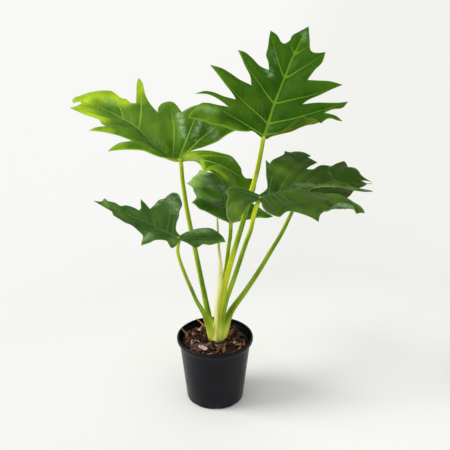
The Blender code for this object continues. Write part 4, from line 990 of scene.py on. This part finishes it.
def side_veins(key, leaf, closed):
    """Curved veins from the midrib to the lobes, ended before the margin."""
    lines = []
    for start, across, along in VEINS[key]:
        foot = np.array([float(rib_across(leaf, start)), start])
        end = np.array([across, along], float)
        bend = foot + (end - foot) * VEIN_BEND
        count = max(4, int(np.linalg.norm(end - foot) / VEIN_STEP))
        t = np.linspace(0, 1, count)[:, None]
        line = foot * (1 - t) ** 2 + 2 * bend * t * (1 - t) + end * t ** 2
        good = inside(line, closed) & (nearest_on(line, closed)[0] > 1.5)
        good[0] = True
        stop = len(line) if good.all() else int(np.argmin(good))
        if stop >= 3:
            lines.append(line[:stop])
    return lines


def flat_blade(key, leaf):
    """Fine triangles of the flat blade, with edges along its veins."""
    closed = outline_points(leaf, EDGE_STEP)
    loop = closed[:-1]
    midrib = main_vein(leaf)
    lines = [midrib[inside(midrib, closed)]] + side_veins(key, leaf, closed)
    rows = fold_rows(leaf, closed, EDGE_STEP)
    low, high = loop.min(axis=0), loop.max(axis=0)
    grid = np.array([(a, b) for j, b in enumerate(np.arange(low[1], high[1], INNER_STEP * 0.866))
                     for a in np.arange(low[0] + (j % 2) * INNER_STEP / 2, high[0], INNER_STEP)])
    grid = grid[inside(grid, closed)]
    grid = grid[nearest_on(grid, closed)[0] > 0.5 * INNER_STEP]
    for line in lines:
        grid = grid[nearest_on(grid, line)[0] > 0.5 * INNER_STEP]
    if len(rows):
        apart = np.array([np.hypot(*(rows - g).T).min() for g in grid])
        grid = grid[apart > 0.45 * INNER_STEP]
    points = [loop, rows, grid]
    edges = [(i, (i + 1) % len(loop)) for i in range(len(loop))]
    start = len(loop) + len(rows) + len(grid)
    for line in lines:
        points.append(line)
        edges += [(start + i, start + i + 1) for i in range(len(line) - 1)]
        start += len(line)
    points = np.vstack(points)
    result = delaunay_2d_cdt([Vector(p) for p in points], edges, [], 1, 1e-4)
    return np.array([tuple(v) for v in result[0]]), result[2], lines, closed


def vein_distance(flat, lines):
    """Distance in millimetres from the edge of the nearest vein: negative inside the vein."""
    nearest = np.full(len(flat), 50.0)
    for i, line in enumerate(lines):
        gap, share = nearest_on(flat, line)
        half = np.interp(share, [0, 1], MAIN_VEIN_HALF if i == 0 else SIDE_VEIN_HALF)
        nearest = np.minimum(nearest, gap - half)
    return nearest


def strokes(flat, places):
    """Soft strokes between two flat points each, the strongest of them at each point."""
    value = np.zeros(len(flat))
    for a0, b0, a1, b1, reach, amount in places:
        off, _ = nearest_on(flat, np.array([(a0, b0), (a1, b1)], float))
        value = np.maximum(value, amount * (1 - smooth_step(off, 0, reach)))
    return value


def vein_map(flat, faces, lines):
    """For each corner of each triangle, how far it is along and beside the nearest vein."""
    corners = flat[np.array(faces)]
    centres = corners.mean(axis=1)
    nearest = np.argmin([nearest_on(centres, line)[0] for line in lines], axis=0)
    uv = np.zeros((len(faces), 3, 2))
    for i, line in enumerate(lines):
        mine = nearest == i
        if mine.any():
            gap, share = nearest_on(corners[mine].reshape(-1, 2), line)
            length = np.linalg.norm(np.diff(line, axis=0), axis=1).sum()
            uv[mine] = np.stack([share * length + 7 * i, gap], axis=1).reshape(-1, 3, 2)
    return uv


def wander(leaf, flat, rim):
    """Slow rise and fall of the blade, in millimetres, gone at its edge."""
    rise = [noise.noise(Vector((a / WANDER_LENGTH, b / WANDER_LENGTH, leaf["phase"]))) for a, b in flat]
    return WANDER * np.array(rise) * smooth_step(rim, 0, WANDER_MARGIN)


def vein_crease(vein, rim):
    """How far a vein is sunken, in millimetres, by the distance from it and from the margin."""
    away = np.clip(vein, 0, None) / CREASE_REACH
    return -CREASE * np.exp(-away ** 2) * smooth_step(rim, 0, CREASE_MARGIN)


def make_leaf(key, materials):
    """A thin two-sided blade with raised fields between sunken veins."""
    leaf = LEAVES[key]
    flat, faces, lines, closed = flat_blade(key, leaf)
    vein = vein_distance(flat, lines)
    rim = nearest_on(flat, closed)[0]
    swell = CUSHION * (1 - np.exp(-(np.clip(vein, 0, None) / CUSHION_REACH) ** 2))
    swell = swell * smooth_step(rim, 0, CUSHION_MARGIN)
    relief = swell + vein_crease(vein, rim) + wander(leaf, flat, rim)
    vertices = leaf_surface(leaf, flat[:, 0], flat[:, 1], relief)
    obj = mesh_piece("leaf_" + key, vertices, faces, materials)
    add_values(obj, "vein", np.clip(vein, -2, 20))
    add_values(obj, "rim", np.clip(rim, 0, 20))
    # Strokes of painted light, shade, sheen, rim light and vein shade on each blade
    for tone in ("glow", "painted_shade", "painted_sheen", "edge", "painted_vein_shade"):
        add_values(obj, tone, strokes(flat, TONES[key].get(tone, [])))
    layer = obj.data.uv_layers.new(name="veins")
    layer.data.foreach_set("uv", vein_map(flat, faces, lines).astype(np.float32).ravel())
    solid = obj.modifiers.new("thickness", "SOLIDIFY")
    solid.thickness = LEAF_THICKNESS
    solid.offset = 0
    solid.material_offset = 1
    solid.material_offset_rim = 2
    apply_modifiers(obj, LEAF_SMOOTH)
    return obj, lines, closed


# Stalks and ribs

def transport(line, start, reference):
    """Directions across a line, carried along it without twist from one of its points."""
    ahead = unit(np.gradient(line, axis=0))
    across = np.zeros_like(line)
    across[start] = unit(reference - ahead[start] * (reference @ ahead[start]))
    for order in (range(start + 1, len(line)), range(start - 1, -1, -1)):
        last = across[start]
        for i in order:
            last = unit(last - ahead[i] * (last @ ahead[i]))
            across[i] = last
    return across, np.cross(ahead, across)


def stalk_section(around):
    """Radius of a stalk's section: a shallow channel on its inner side between two soft ridges."""
    off = np.abs(np.arctan2(np.sin(around), np.cos(around)))
    depth, half = CHANNEL
    height, width, place = RIDGES
    return 1 - depth * np.exp(-(off / half) ** 2) + height * np.exp(-((off - place) / width) ** 2)


def circle(sides):
    """Angles of the corners of a ring."""
    return np.arange(sides) * 2 * np.pi / sides


def ring(radius, height, around, centre=(0, 0)):
    """Points of a level ring."""
    x, y = centre[0] + radius * np.cos(around), centre[1] + radius * np.sin(around)
    return np.stack([x, y, np.full(len(around), height)], axis=1)


def flipped(faces):
    """The same faces, seen from their other side."""
    return [(face[0], *face[:0:-1]) for face in faces]


def ring_faces(rings, sides):
    """Faces between rings of vertices that lie one after the other."""
    faces = []
    for i in range(rings - 1):
        for k in range(sides):
            j = (k + 1) % sides
            faces.append((i * sides + k, i * sides + j, (i + 1) * sides + j, (i + 1) * sides + k))
    return faces


def closed_rings(rings, first, last):
    """Vertices and faces of a closed skin over rings of points, with a point at either end."""
    sides, count = len(rings[0]), len(rings) * len(rings[0])
    faces = ring_faces(len(rings), sides)
    for k in range(sides):
        j = (k + 1) % sides
        faces.append((j, k, count))
        faces.append((count - sides + k, count - sides + j, count + 1))
    return np.vstack(rings + [[first], [last]]), faces


def tube(line, radii, across, beside, sides, section=None, widen=None):
    """Vertices and faces of a closed tube with rounded ends."""
    around = circle(sides)
    shape = section(around) if section else np.ones(sides)
    widen = np.ones(len(line)) if widen is None else widen
    ahead = unit(np.gradient(line, axis=0))
    rings = []
    for i in range(len(line)):
        wide = shape * radii[i]
        rings.append(line[i] + across[i] * (wide * np.cos(around))[:, None]
                     + beside[i] * (wide * np.sin(around) * widen[i])[:, None])
    return closed_rings(rings, line[0] - ahead[0] * radii[0] * 0.3, line[-1] + ahead[-1] * radii[-1] * 0.3)


def gather(shapes):
    """Several shapes as one list of vertices and faces."""
    vertices, faces, count = [], [], 0
    for points, polygons in shapes:
        vertices.append(points)
        faces += [tuple(i + count for i in f) for f in polygons]
        count += len(points)
    return np.vstack(vertices), faces


def under_blade(leaf, line, depth, closed):
    """Points a little under the sunken veins along a flat line, in metres."""
    across, along = line[:, 0], line[:, 1]
    rim = nearest_on(line, closed)[0]
    top = leaf_surface(leaf, across, along, wander(leaf, line, rim) + vein_crease(0 * rim, rim))
    ahead = leaf_surface(leaf, across, along + 0.5) - leaf_surface(leaf, across, along - 0.5)
    right = leaf_surface(leaf, across + 0.5, along) - leaf_surface(leaf, across - 0.5, along)
    normal = unit(np.cross(right, ahead))
    return top - normal * depth[:, None], normal


def full_stalk(key, closed):
    """The whole line of a stalk and its midrib, its radii, and where the joint is."""
    leaf, stalk = LEAVES[key], STALKS[key]
    points = smooth_route(np.array(stalk["route"], float) * MM, STALK_STEP)
    foot, middle, thick = np.array(stalk["girth"]) * MM
    radii = np.interp(np.linspace(0, 1, len(points)), [0, 0.25, 1], [foot, middle, thick])
    rib = main_vein(leaf)[2:]
    share = np.linspace(0, 1, len(rib))
    near, far = np.array(MIDRIB_SHARES) * thick
    slim = np.interp(share, [0, 0.3, 1], [near, far, MIDRIB_END])
    line, _ = under_blade(leaf, rib, slim * np.interp(share, [0, 0.12, 1], RIB_SINK), closed)
    joint = len(points) - 1
    return np.vstack([points, line]), np.concatenate([radii, slim]), joint


def height_tint(key, vertices):
    """How yellow a stalk is at the height of each vertex."""
    heights, amounts = np.array(STALK_TINT[key]).T
    return np.interp(vertices[:, 2] / MM, heights, amounts)


def painted_side_light(obj, tint):
    """Painted light and shade: yellower on the side that faces the key light, greener on the side away."""
    away = np.array([v.normal.x for v in obj.data.vertices])
    lit = STALK_PAINTED_LIGHT * smooth_step(-away, *STALK_PAINTED_LIGHT_FACING)
    shaded = STALK_PAINTED_SHADE * smooth_step(away, *STALK_PAINTED_SHADE_FACING)
    return np.clip(tint + lit - shaded, 0, 1)


def add_grain(obj, grain):
    """Where each vertex lies round its stalk and along it, for streaks that follow the stalk."""
    add_values(obj, "grain", grain, "FLOAT_VECTOR", "vector")


def tube_grain(line, sides, shift):
    """The grain of a tube's vertices, in the order that tube() makes them."""
    heights = shift + GRAIN_STRETCH * run_along(line)
    rings = [ring(1.0, height, circle(sides)) for height in heights]
    return np.vstack(rings + [[(0, 0, heights[0])], [(0, 0, heights[-1])]])


def streaked_tube(name, line, radii, across, beside, sides, section, material):
    """A tube as a piece, with streaks along it."""
    vertices, faces = tube(line, radii, across, beside, sides, section)
    obj = mesh_piece(name, vertices, faces, [material], STALK_SMOOTH)
    add_grain(obj, tube_grain(line, sides, GRAIN_STRETCH * line[0][2]))
    return obj


def make_stalk(key, material, closed, crown_shapes):
    """The free part of a stalk as a piece, with its foot kept for the crown and its rib returned."""
    line, radii, joint = full_stalk(key, closed)
    _, _, face = leaf_axes(LEAVES[key])
    across, beside = transport(line, joint, face)
    run = run_along(line)
    stub = int(np.argmin(np.abs(run - (run[joint] - STUB_LENGTH))))
    split = int(np.argmax(line[:, 2] > SPLIT_HEIGHT))
    widen = 1 + WINGS.get(key, PLAIN_WING) * (1 - smooth_step(line[:, 2], *WING_HEIGHTS))
    radii = radii * (1 + FOOT_FLARE * (1 - smooth_step(line[:, 2], *FLARE_HEIGHTS)))

    shift = GRAIN_SHIFT * list(STALKS).index(key)

    def stretch(first, last):
        part = slice(first, last + 1)
        return tube(line[part], radii[part], across[part], beside[part], STALK_SIDES, stalk_section,
                    widen[part])

    foot = stretch(0, split)
    grain = tube_grain(line[:split + 1], STALK_SIDES, shift)
    crown_shapes.append((foot, height_tint(key, foot[0]), grain))
    vertices, faces = stretch(split, stub)
    obj = mesh_piece("stalk_" + key, vertices, faces, [material], STALK_SMOOTH)
    add_grain(obj, tube_grain(line[split:stub + 1], STALK_SIDES, shift + GRAIN_STRETCH * run[split]))
    # Painted light and shade on the stalk's sides join its tint
    add_values(obj, "tint", painted_side_light(obj, height_tint(key, vertices)))
    return obj, stretch(stub, len(line) - 1)


def make_ribs(key, lines, closed, midrib, material):
    """The midrib and the raised side veins under a blade."""
    leaf = LEAVES[key]
    shapes = [midrib]
    for flat_line in lines[1:]:
        radii = np.interp(np.linspace(0, 1, len(flat_line)), [0, 1], SIDE_RIB_RADII)
        line, normal = under_blade(leaf, flat_line, radii + RIB_GAP, closed)
        beside = np.cross(unit(np.gradient(line, axis=0)), normal)
        shapes.append(tube(line, radii, normal, beside, 8))
    vertices, faces = gather(shapes)
    obj = mesh_piece("ribs_" + key, vertices, faces, [material], RIB_SMOOTH)
    joint = np.array(leaf["place"]) * MM
    near = 1 - smooth_step(np.linalg.norm(vertices - joint, axis=1), *RIB_TINT_REACH)
    add_values(obj, "tint", FAR_RIB_TINT + (RIB_TINT[key] - FAR_RIB_TINT) * near)
    add_grain(obj, vertices * RIB_GRAIN)
    return obj


def make_crown(shapes, material):
    """The short stem with ring scars and a ragged skirt, and the feet of all stalks."""
    profile = smooth_route(np.array(CROWN_PROFILE, float), CROWN_STEP)
    around = circle(CROWN_SIDES)
    rings = []
    across, down = CROWN_SWELL_SCALE
    lobe, lobe_count, lobe_turn = CROWN_LOBES
    scar, scar_run, scar_wave = CROWN_SCARS
    for radius, height in profile[-2:0:-1]:
        places = [Vector((np.cos(a) * across, np.sin(a) * across, height / down)) for a in around]
        swell = np.array([noise.noise(place) for place in places])
        lobes = lobe * np.cos(lobe_count * around + lobe_turn)
        scars = scar * np.sin(height * scar_run + scar_wave * np.sin(around))
        wide = radius * MM * (1 + CROWN_SWELL * swell + (lobes + scars))
        rings.append(ring(wide, height * MM, around, CROWN_PLACE))
    low, high = (*CROWN_PLACE, profile[-1][1] * MM), (*CROWN_PLACE, profile[0][1] * MM)
    vertices, faces = closed_rings(rings, low, high)
    tints = [np.full(len(vertices), CROWN_TINT)] + [t for _, t, _ in shapes]
    grain = np.vstack([vertices * CROWN_GRAIN] + [g for _, _, g in shapes])
    vertices, faces = gather([(vertices, faces)] + [s for s, _, _ in shapes])
    obj = mesh_piece("crown_detail", vertices, faces, [material], STALK_SMOOTH)
    # Painted light and shade on the sides of the crown and the stalk feet join their tint
    add_values(obj, "tint", painted_side_light(obj, np.concatenate(tints)))
    add_grain(obj, grain)
    return obj


def rolled_section(depth):
    """A round section with one overlapping edge, as a rolled leaf has."""
    def section(around):
        turn = np.mod(around, 2 * np.pi) / (2 * np.pi)
        return 1 - depth * turn * smooth_step(turn, 0.0, 0.9) + depth * smooth_step(turn, 0.93, 1.0)
    return section


def make_sheath(material):
    """The cream sheath with its overlapping edge and its pointed end round the young leaf."""
    points = smooth_route(np.array(SHEATH["route"], float) * MM, STALK_STEP)
    foot, middle, top = np.array(SHEATH["girth"]) * MM
    share = np.linspace(0, 1, len(points))
    radii = np.interp(share, [0, 0.25, 0.85, 1], [foot, middle, middle, 1.15 * top])
    points[:, 1] -= SHEATH_FORWARD * (1 - smooth_step(points[:, 2], *SHEATH_FORWARD_HEIGHTS))
    across, beside = transport(points, 0, TOWARDS_VIEWER)
    split = int(np.argmax(points[:, 2] > SPLIT_HEIGHT))
    section = rolled_section(SHEATH_OVERLAP)
    pieces = []
    for name, part in (("sheath_foot", slice(0, split + 1)), ("sheath_detail", slice(split, None))):
        pieces.append(streaked_tube(name, points[part], radii[part], across[part], beside[part],
                                    STALK_SIDES, section, material))
    return pieces


def make_young_leaf(material):
    """The rolled young leaf, which tapers out of the sheath."""
    points = smooth_route(np.array([SHEATH["route"][-2]] + YOUNG_LEAF) * MM, 2.5 * MM)
    share = np.linspace(0, 1, len(points))
    radii = np.interp(share, [0, 0.22, 0.45, 0.9, 1], YOUNG_LEAF_RADII)
    across, beside = transport(points, 0, TOWARDS_VIEWER)
    return streaked_tube("young_leaf_detail", points, radii, across, beside, YOUNG_LEAF_SIDES,
                         rolled_section(YOUNG_LEAF_OVERLAP), material)


# Pot

def pot_radius(height):
    """Outer radius of the pot's body, in millimetres."""
    return POT_BASE_RADIUS + (POT_TOP_RADIUS - POT_BASE_RADIUS) * min(height / POT_BODY_HEIGHT, 1.0)


def rounded(points, size, steps=5):
    """A profile with its corners rounded off."""
    points = [np.array(p, float) for p in points]
    out = [points[0]]
    for before, here, after in zip(points, points[1:], points[2:]):
        reach = min(size, 0.45 * np.linalg.norm(before - here), 0.45 * np.linalg.norm(after - here))
        start = here + unit(before - here) * reach
        end = here + unit(after - here) * reach
        for t in np.linspace(0, 1, steps):
            out.append(start * (1 - t) ** 2 + 2 * here * t * (1 - t) + end * t ** 2)
    out.append(points[-1])
    return out


def make_pot(material):
    """Thin moulded pot with a rolled rim, a step inside and drain slots round its foot."""
    wall = POT_WALL
    # From the middle of the floor up the inside, over the lip and down the outside to the base
    profile = [
        (0.01, 2.0), (20, 2.0), (20.8, 2.8), (24, 2.8), (24.8, 2.0),
        (pot_radius(2) - wall - 2.5, 2.0), (pot_radius(4) - wall, 4.5),
        (pot_radius(60) - wall, 60), (POT_TOP_RADIUS - wall, POT_BODY_HEIGHT),
        (LIP_INSIDE_RADIUS, LIP_INSIDE_FOOT), (LIP_INSIDE_RADIUS + 0.1, POT_HEIGHT - 0.6),
        (LIP_INSIDE_RADIUS + 0.9, POT_HEIGHT), (LIP_RADIUS - 1.0, POT_HEIGHT),
        (LIP_RADIUS, POT_HEIGHT - 1.1), *LIP_OUTSIDE, (POT_TOP_RADIUS, POT_BODY_HEIGHT),
        (pot_radius(60), 60), (pot_radius(POT_CORNER), POT_CORNER),
        (pot_radius(0) - 0.9, 0.5), (pot_radius(0) - POT_CORNER, 0), (30, 0), (29, 0.6), (0.01, 0.6)]
    profile = rounded(profile, 0.8)
    rings = [ring(r * MM, z * MM, circle(POT_SIDES)) for r, z in profile]
    faces = flipped(ring_faces(len(rings), POT_SIDES))
    low = (len(rings) - 1) * POT_SIDES
    faces.append(tuple(range(POT_SIDES)))
    faces.append(tuple(reversed(range(low, low + POT_SIDES))))
    obj = mesh_piece("pot_detail", np.vstack(rings), faces, [material])
    cutter = drain_cutter()
    cut = obj.modifiers.new("drain", "BOOLEAN")
    cut.operation = "DIFFERENCE"
    cut.solver = "EXACT"
    cut.object = cutter
    apply_modifiers(obj, POT_SMOOTH)
    bpy.data.objects.remove(cutter, do_unlink=True)
    return obj


def drain_cutter():
    """Boxes round the foot of the pot, which cut its drain slots."""
    work = bmesh.new()
    for i in range(DRAIN_SLOTS):
        made = bmesh.ops.create_cube(work, size=1.0)["verts"]
        bmesh.ops.scale(work, verts=made, vec=[v * MM for v in DRAIN_SIZE])
        bmesh.ops.translate(work, verts=made, vec=(POT_BASE_RADIUS * MM, 0, 0))
        angle = np.radians(DRAIN_FIRST_ANGLE + i * 360 / DRAIN_SLOTS)
        bmesh.ops.rotate(work, verts=made, cent=(0, 0, 0), matrix=Matrix.Rotation(angle, 3, "Z"))
    mesh = bpy.data.meshes.new("drain slots")
    work.to_mesh(mesh)
    work.free()
    return add_object("drain slots", mesh)


# Soil and bark

def soil_bumps():
    """The same low mounds as the soil solid has, in metres."""
    random = np.random.default_rng(SOIL_SEED)
    bumps = []
    for _ in range(SOIL_BUMPS):
        angle = random.uniform(0, 2 * np.pi)
        distance = POT_TOP_RADIUS * MM * np.sqrt(random.uniform(*BUMP_SPREAD))
        place = np.array([distance * np.cos(angle), distance * np.sin(angle)])
        size = random.uniform(*BUMP_SIZES) * MM
        height = random.uniform(*BUMP_HEIGHTS) * MM
        room = [np.hypot(*(place - np.array(spot) * MM)) - 0.5 * length * MM
                for spot, length in BARK.values()]
        if min(room) > 0:
            bumps.append((place, size, height))
    return bumps


def soil_height(x, y, bumps):
    """Height of the soil over places in metres: a low dome with its mounds."""
    distance = np.hypot(x, y) / (POT_TOP_RADIUS * MM)
    height = (SOIL_EDGE_HEIGHT + SOIL_DOME * (1 - distance ** 2)) * MM
    fade = np.clip((1.0 - distance) / 0.12, 0, 1)
    for place, size, rise in bumps:
        off = ((x - place[0]) ** 2 + (y - place[1]) ** 2) / size ** 2
        height = height + fade * rise * np.exp(-2 * off)
    return height


def make_soil(material, bumps):
    """A closed disc of crumbly soil, as deep as the pot."""
    wall = (pot_radius(SOIL_EDGE_HEIGHT) - POT_WALL - 0.25) * MM
    floor = SOIL_FLOOR * MM
    around = circle(SOIL_SIDES)
    rings = []
    for i in range(SOIL_RINGS):
        level = ring(wall * (i + 1) / SOIL_RINGS, 0.0, around)
        places = [Vector((x * CRUMB_SCALE, y * CRUMB_SCALE, CRUMB_SEED)) for x, y, _ in level]
        crumbs = np.array([noise.fractal(place, 1.0, 2.1, 3) for place in places])
        z = soil_height(level[:, 0], level[:, 1], bumps)
        level[:, 2] = z + (crumbs - 0.1) * CRUMB_HEIGHT * MM - 0.5 * MM
        rings.append(level)
    rings.append(ring((pot_radius(floor / MM) - POT_WALL - 0.5) * MM, floor, around))
    vertices, faces = closed_rings(rings, (0, 0, rings[0][:, 2].mean()), (0, 0, floor))
    return mesh_piece("soil_detail", vertices, flipped(faces), [material], SOIL_SMOOTH)


def chip_shape(size, random):
    """A broken chip: a flattened ball with flat breaks, in its own axes."""
    work = bmesh.new()
    bmesh.ops.create_icosphere(work, subdivisions=2, radius=1.0)
    points = np.array([v.co for v in work.verts])
    faces = [tuple(v.index for v in f.verts) for f in work.faces]
    work.free()
    for _ in range(CHIP_BREAKS):
        normal = unit(random.normal(size=3))
        limit = random.uniform(*CHIP_CUT)
        over = np.clip(points @ normal - limit, 0, None)
        points = points - normal * over[:, None]
    points = points * (1 + CHIP_ROUGH * random.uniform(-1, 1, size=(len(points), 1)))
    return points * np.array(size) / 2, faces


def chip_tone(random):
    """One of the tones of bark, a little darker or lighter."""
    pick = random.uniform()
    tone = next(colour for limit, colour in CHIP_TONES if pick < limit)
    shade = random.uniform(*CHIP_SHADE)
    return tuple(c * shade for c in tone)


def tilt_matrix(random, most):
    """Any turn, with a lean and a roll of at most the given angle."""
    turn = Matrix.Rotation(random.uniform(0, 2 * np.pi), 3, "Z")
    lean = Matrix.Rotation(random.uniform(-most, most), 3, "X")
    roll = Matrix.Rotation(random.uniform(-most, most), 3, "Y")
    return np.array(turn @ lean @ roll)


def make_mulch(material, bumps):
    """Loose bark chips, crumbs and fibres that cover the soil."""
    random = np.random.default_rng(MULCH_SEED)
    shapes, tones = [], []
    inner = POT_TOP_RADIUS - POT_WALL - 1.5
    centre = np.array(CROWN_PLACE) / MM
    for _ in range(MULCH_CHIPS):
        share = random.uniform() ** 1.1
        long = CHIP_LENGTHS[0] + (CHIP_LENGTHS[1] - CHIP_LENGTHS[0]) * share
        size = long * np.array([1, random.uniform(*CHIP_WIDTH), random.uniform(*CHIP_THICKNESS)])
        fibre = random.uniform() < FIBRE_SHARE
        if fibre:
            size = np.array([random.uniform(*span) for span in FIBRE_SIZES])
        angle = random.uniform(0, 2 * np.pi)
        reach = min(inner * np.sqrt(random.uniform(0.03, 1.0)), inner - 0.5 * size[0])
        x, y = reach * np.cos(angle), reach * np.sin(angle)
        if np.hypot(x - centre[0], y - centre[1]) < CROWN_CLEARANCE + 0.4 * size[0]:
            continue
        points, faces = chip_shape(size * MM, random)
        points = points @ tilt_matrix(random, FIBRE_LEAN if fibre else CHIP_LEAN).T
        ground = float(soil_height(x * MM, y * MM, bumps))
        lift = random.uniform(*CHIP_LIFT) * size[2] * MM
        points = points + np.array([x * MM, y * MM, ground + lift])
        shapes.append((points, faces))
        tones.append(chip_tone(random))
    return chips_piece("mulch", shapes, tones, material)


def chips_piece(name, shapes, tones, material):
    """Chips or plates as one piece, each in its own tone."""
    obj = mesh_piece(name, *gather(shapes), [material], CHIP_SMOOTH)
    colours = np.vstack([np.tile((*tone, 1.0), (len(points), 1))
                         for tone, (points, _) in zip(tones, shapes)])
    add_values(obj, "tone", colours, "FLOAT_COLOR", "color")
    return obj


def bark_plate(size, bend, random):
    """A torn plate of bark, bent over its length, in its own axes and metres."""
    length, width, thick = np.array(size) * MM
    rows, columns = PLATE_ROWS, PLATE_COLUMNS
    u = np.linspace(-1, 1, rows)[:, None] * np.ones(columns)
    v = np.linspace(-1, 1, columns)[None, :] * np.ones((rows, 1))
    reach = np.interp(v, np.linspace(-1, 1, 5), random.uniform(1 - PLATE_RAGGED, 1, 5))
    wide = np.interp(u, np.linspace(-1, 1, 7), random.uniform(1 - PLATE_RAGGED, 1, 7))
    wide = wide * (1 - 0.35 * np.abs(u) ** 3)
    x = u * reach * length / 2
    turn = v * wide * np.radians(bend) / 2 + 1e-6
    radius = width / np.radians(bend)
    y = radius * np.sin(turn)
    z = radius * (np.cos(turn) - 1)
    rough = random.uniform(-PLATE_ROUGH, PLATE_ROUGH, size=(2, rows, columns)) * thick
    rough = (rough + np.roll(rough, 1, axis=1) + np.roll(rough, -1, axis=1)) / 2
    top = np.stack([x, y, z + rough[0]], axis=-1)
    low = np.stack([x, y - np.sin(turn) * thick, z - np.cos(turn) * thick + rough[1]], axis=-1)
    vertices = np.vstack([top.reshape(-1, 3), low.reshape(-1, 3)])
    count = rows * columns
    faces = []
    for i in range(rows - 1):
        for k in range(columns - 1):
            a = i * columns + k
            faces.append((a, a + columns, a + columns + 1, a + 1))
            faces.append((count + a, count + a + 1, count + a + columns + 1, count + a + columns))
    edge = list(range(columns)) + [i * columns + columns - 1 for i in range(1, rows)]
    edge += [count - 2 - k for k in range(columns - 1)] + [i * columns for i in range(rows - 2, 0, -1)]
    for a, b in zip(edge, edge[1:] + edge[:1]):
        faces.append((a, b, count + b, count + a))
    return vertices, faces


def make_bark(name, material):
    """A loose piece of bark or twig, made of a few plates, where its solid lies."""
    low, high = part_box(name)
    centre = (np.array(low) + np.array(high)) / 2
    shapes, tones = [], []
    for k, (place, size, bend, turns, tone) in enumerate(PLATES[name]):
        random = np.random.default_rng(len(name) + PLATE_SEED * k)
        points, faces = bark_plate(size, bend, random)
        turn, lean, roll = np.radians(turns)
        spin = Matrix.Rotation(turn, 3, "Z") @ Matrix.Rotation(lean, 3, "Y") @ Matrix.Rotation(roll, 3, "X")
        points = points @ np.array(spin).T + np.array([centre[0], centre[1], low[2]]) + np.array(place) * MM
        shapes.append((points, faces))
        tones.append(tone)
    return chips_piece(name + "_detail", shapes, tones, material)


# Stage

def make_stage():
    """The pale floor, which runs on behind the plant, with painted shade towards its right and a painted
    pool of light behind the pot that lifts the plant's shadow.
    """
    s = Shader("floor")
    # Painted shade: the floor darkens from its lit left tone to its right one, where the light falls off
    lean = s.math("MULTIPLY", s.part("Y"), FLOOR_SLANT)
    across = s.ramp(s.math("SUBTRACT", s.part("X"), lean), *FLOOR_CHANGE)
    # Painted light: a pool of light behind the pot that lifts the plant's shadow on the floor
    offset = s.vector("SUBTRACT", s.here, LIGHT_POOL_PLACE)
    away = s.vector("LENGTH", s.vector("DIVIDE", offset.outputs["Vector"], LIGHT_POOL_SIZE).outputs["Vector"])
    pool = s.ramp(away.outputs["Value"], *LIGHT_POOL_FADE, 1.0, 0.0)
    colour = s.mix(pool, s.mix(across, FLOOR_LIT_LEFT, FLOOR_SHADED_RIGHT), FLOOR_LIGHT_POOL)
    material = s.set(colour=colour, roughness=0.9, specular=0.1)
    r = FLOOR_SIZE
    corners = [(-r, -r, 0), (r, -r, 0), (r, r, 0), (-r, r, 0)]
    floor = mesh_piece("floor", corners, [(0, 1, 2, 3)], [material])


def make_light():
    """A soft world that is brighter from the upper left front, and a broad key light from the left."""
    world = bpy.data.worlds.new("studio")
    world.use_nodes = True
    background = world.node_tree.nodes["Background"]
    n = Nodes(world.node_tree)
    n.plug(WORLD_COLOUR, background.inputs["Color"])
    direction = n.node("ShaderNodeTexCoord").outputs["Generated"]
    towards = n.vector("DOT_PRODUCT", direction, Vector(WORLD_FROM).normalized())
    n.plug(n.ramp(towards.outputs["Value"], *WORLD_TURN, *WORLD_RANGE), background.inputs["Strength"])
    bpy.context.scene.world = world
    key = bpy.data.lights.new("key", "SUN")
    key.energy = KEY_STRENGTH
    key.angle = np.radians(KEY_SPREAD)
    key.color = KEY_COLOUR
    obj = add_object("key", key)
    side, rise = np.radians([KEY_SIDE, KEY_RISE])
    obj.location = (-np.cos(side) * np.cos(rise), -np.sin(side) * np.cos(rise), np.sin(rise))
    obj.location *= KEY_DISTANCE
    obj.rotation_euler = (-obj.location).to_track_quat("-Z", "Y").to_euler()
    view = bpy.context.scene.view_settings
    view.view_transform = "Standard"
    view.look = "None"
    view.exposure = 0.0


def make_camera():
    """The viewer's camera, a little above the plant and looking down at it."""
    data = bpy.data.cameras.new("camera")
    data.sensor_width = 36.0
    data.lens = CAMERA_LENS
    data.clip_end = 30.0
    obj = add_object("camera", data)
    obj.location = CAMERA_PLACE
    obj.rotation_euler = (np.radians(90 - CAMERA_PITCH), 0, 0)
    bpy.context.scene.camera = obj


def main():
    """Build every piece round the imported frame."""
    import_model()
    make_camera()
    make_light()
    make_stage()

    stalk = stalk_material("stalk")
    crown_shapes = []
    for key in LEAVES:
        materials = [leaf_material("leaf " + key, **LOOKS[key]),
                     underside_material("underside " + key, **LOOKS[key]),
                     edge_material("leaf edge " + key, **LOOKS[key])]
        blade, lines, closed = make_leaf(key, materials)
        carry(blade, "blade_" + key, slot="leaves")
        piece, midrib = make_stalk(key, stalk, closed, crown_shapes)
        carry(piece, "petiole_" + key, slot="stalks")
        carry(make_ribs(key, lines, closed, midrib, stalk), slot="stalks")
    cream = sheath_material("sheath")
    foot, sheath = make_sheath(cream)
    carry(foot, slot="sheath")
    carry(sheath, "sheath", slot="sheath")
    carry(make_young_leaf(cream), "young_leaf", slot="sheath")
    carry(make_crown(crown_shapes, stalk), "crown", slot="stalks")
    carry(make_pot(pot_material("pot")), "pot", slot="pot")
    bumps = soil_bumps()
    carry(make_soil(earth_material("earth"), bumps), "soil", slot="soil")
    bark = bark_material("bark")
    carry(make_mulch(bark, bumps), slot="bark")
    for name in BARK:
        carry(make_bark(name, bark), name, slot="bark")


main()
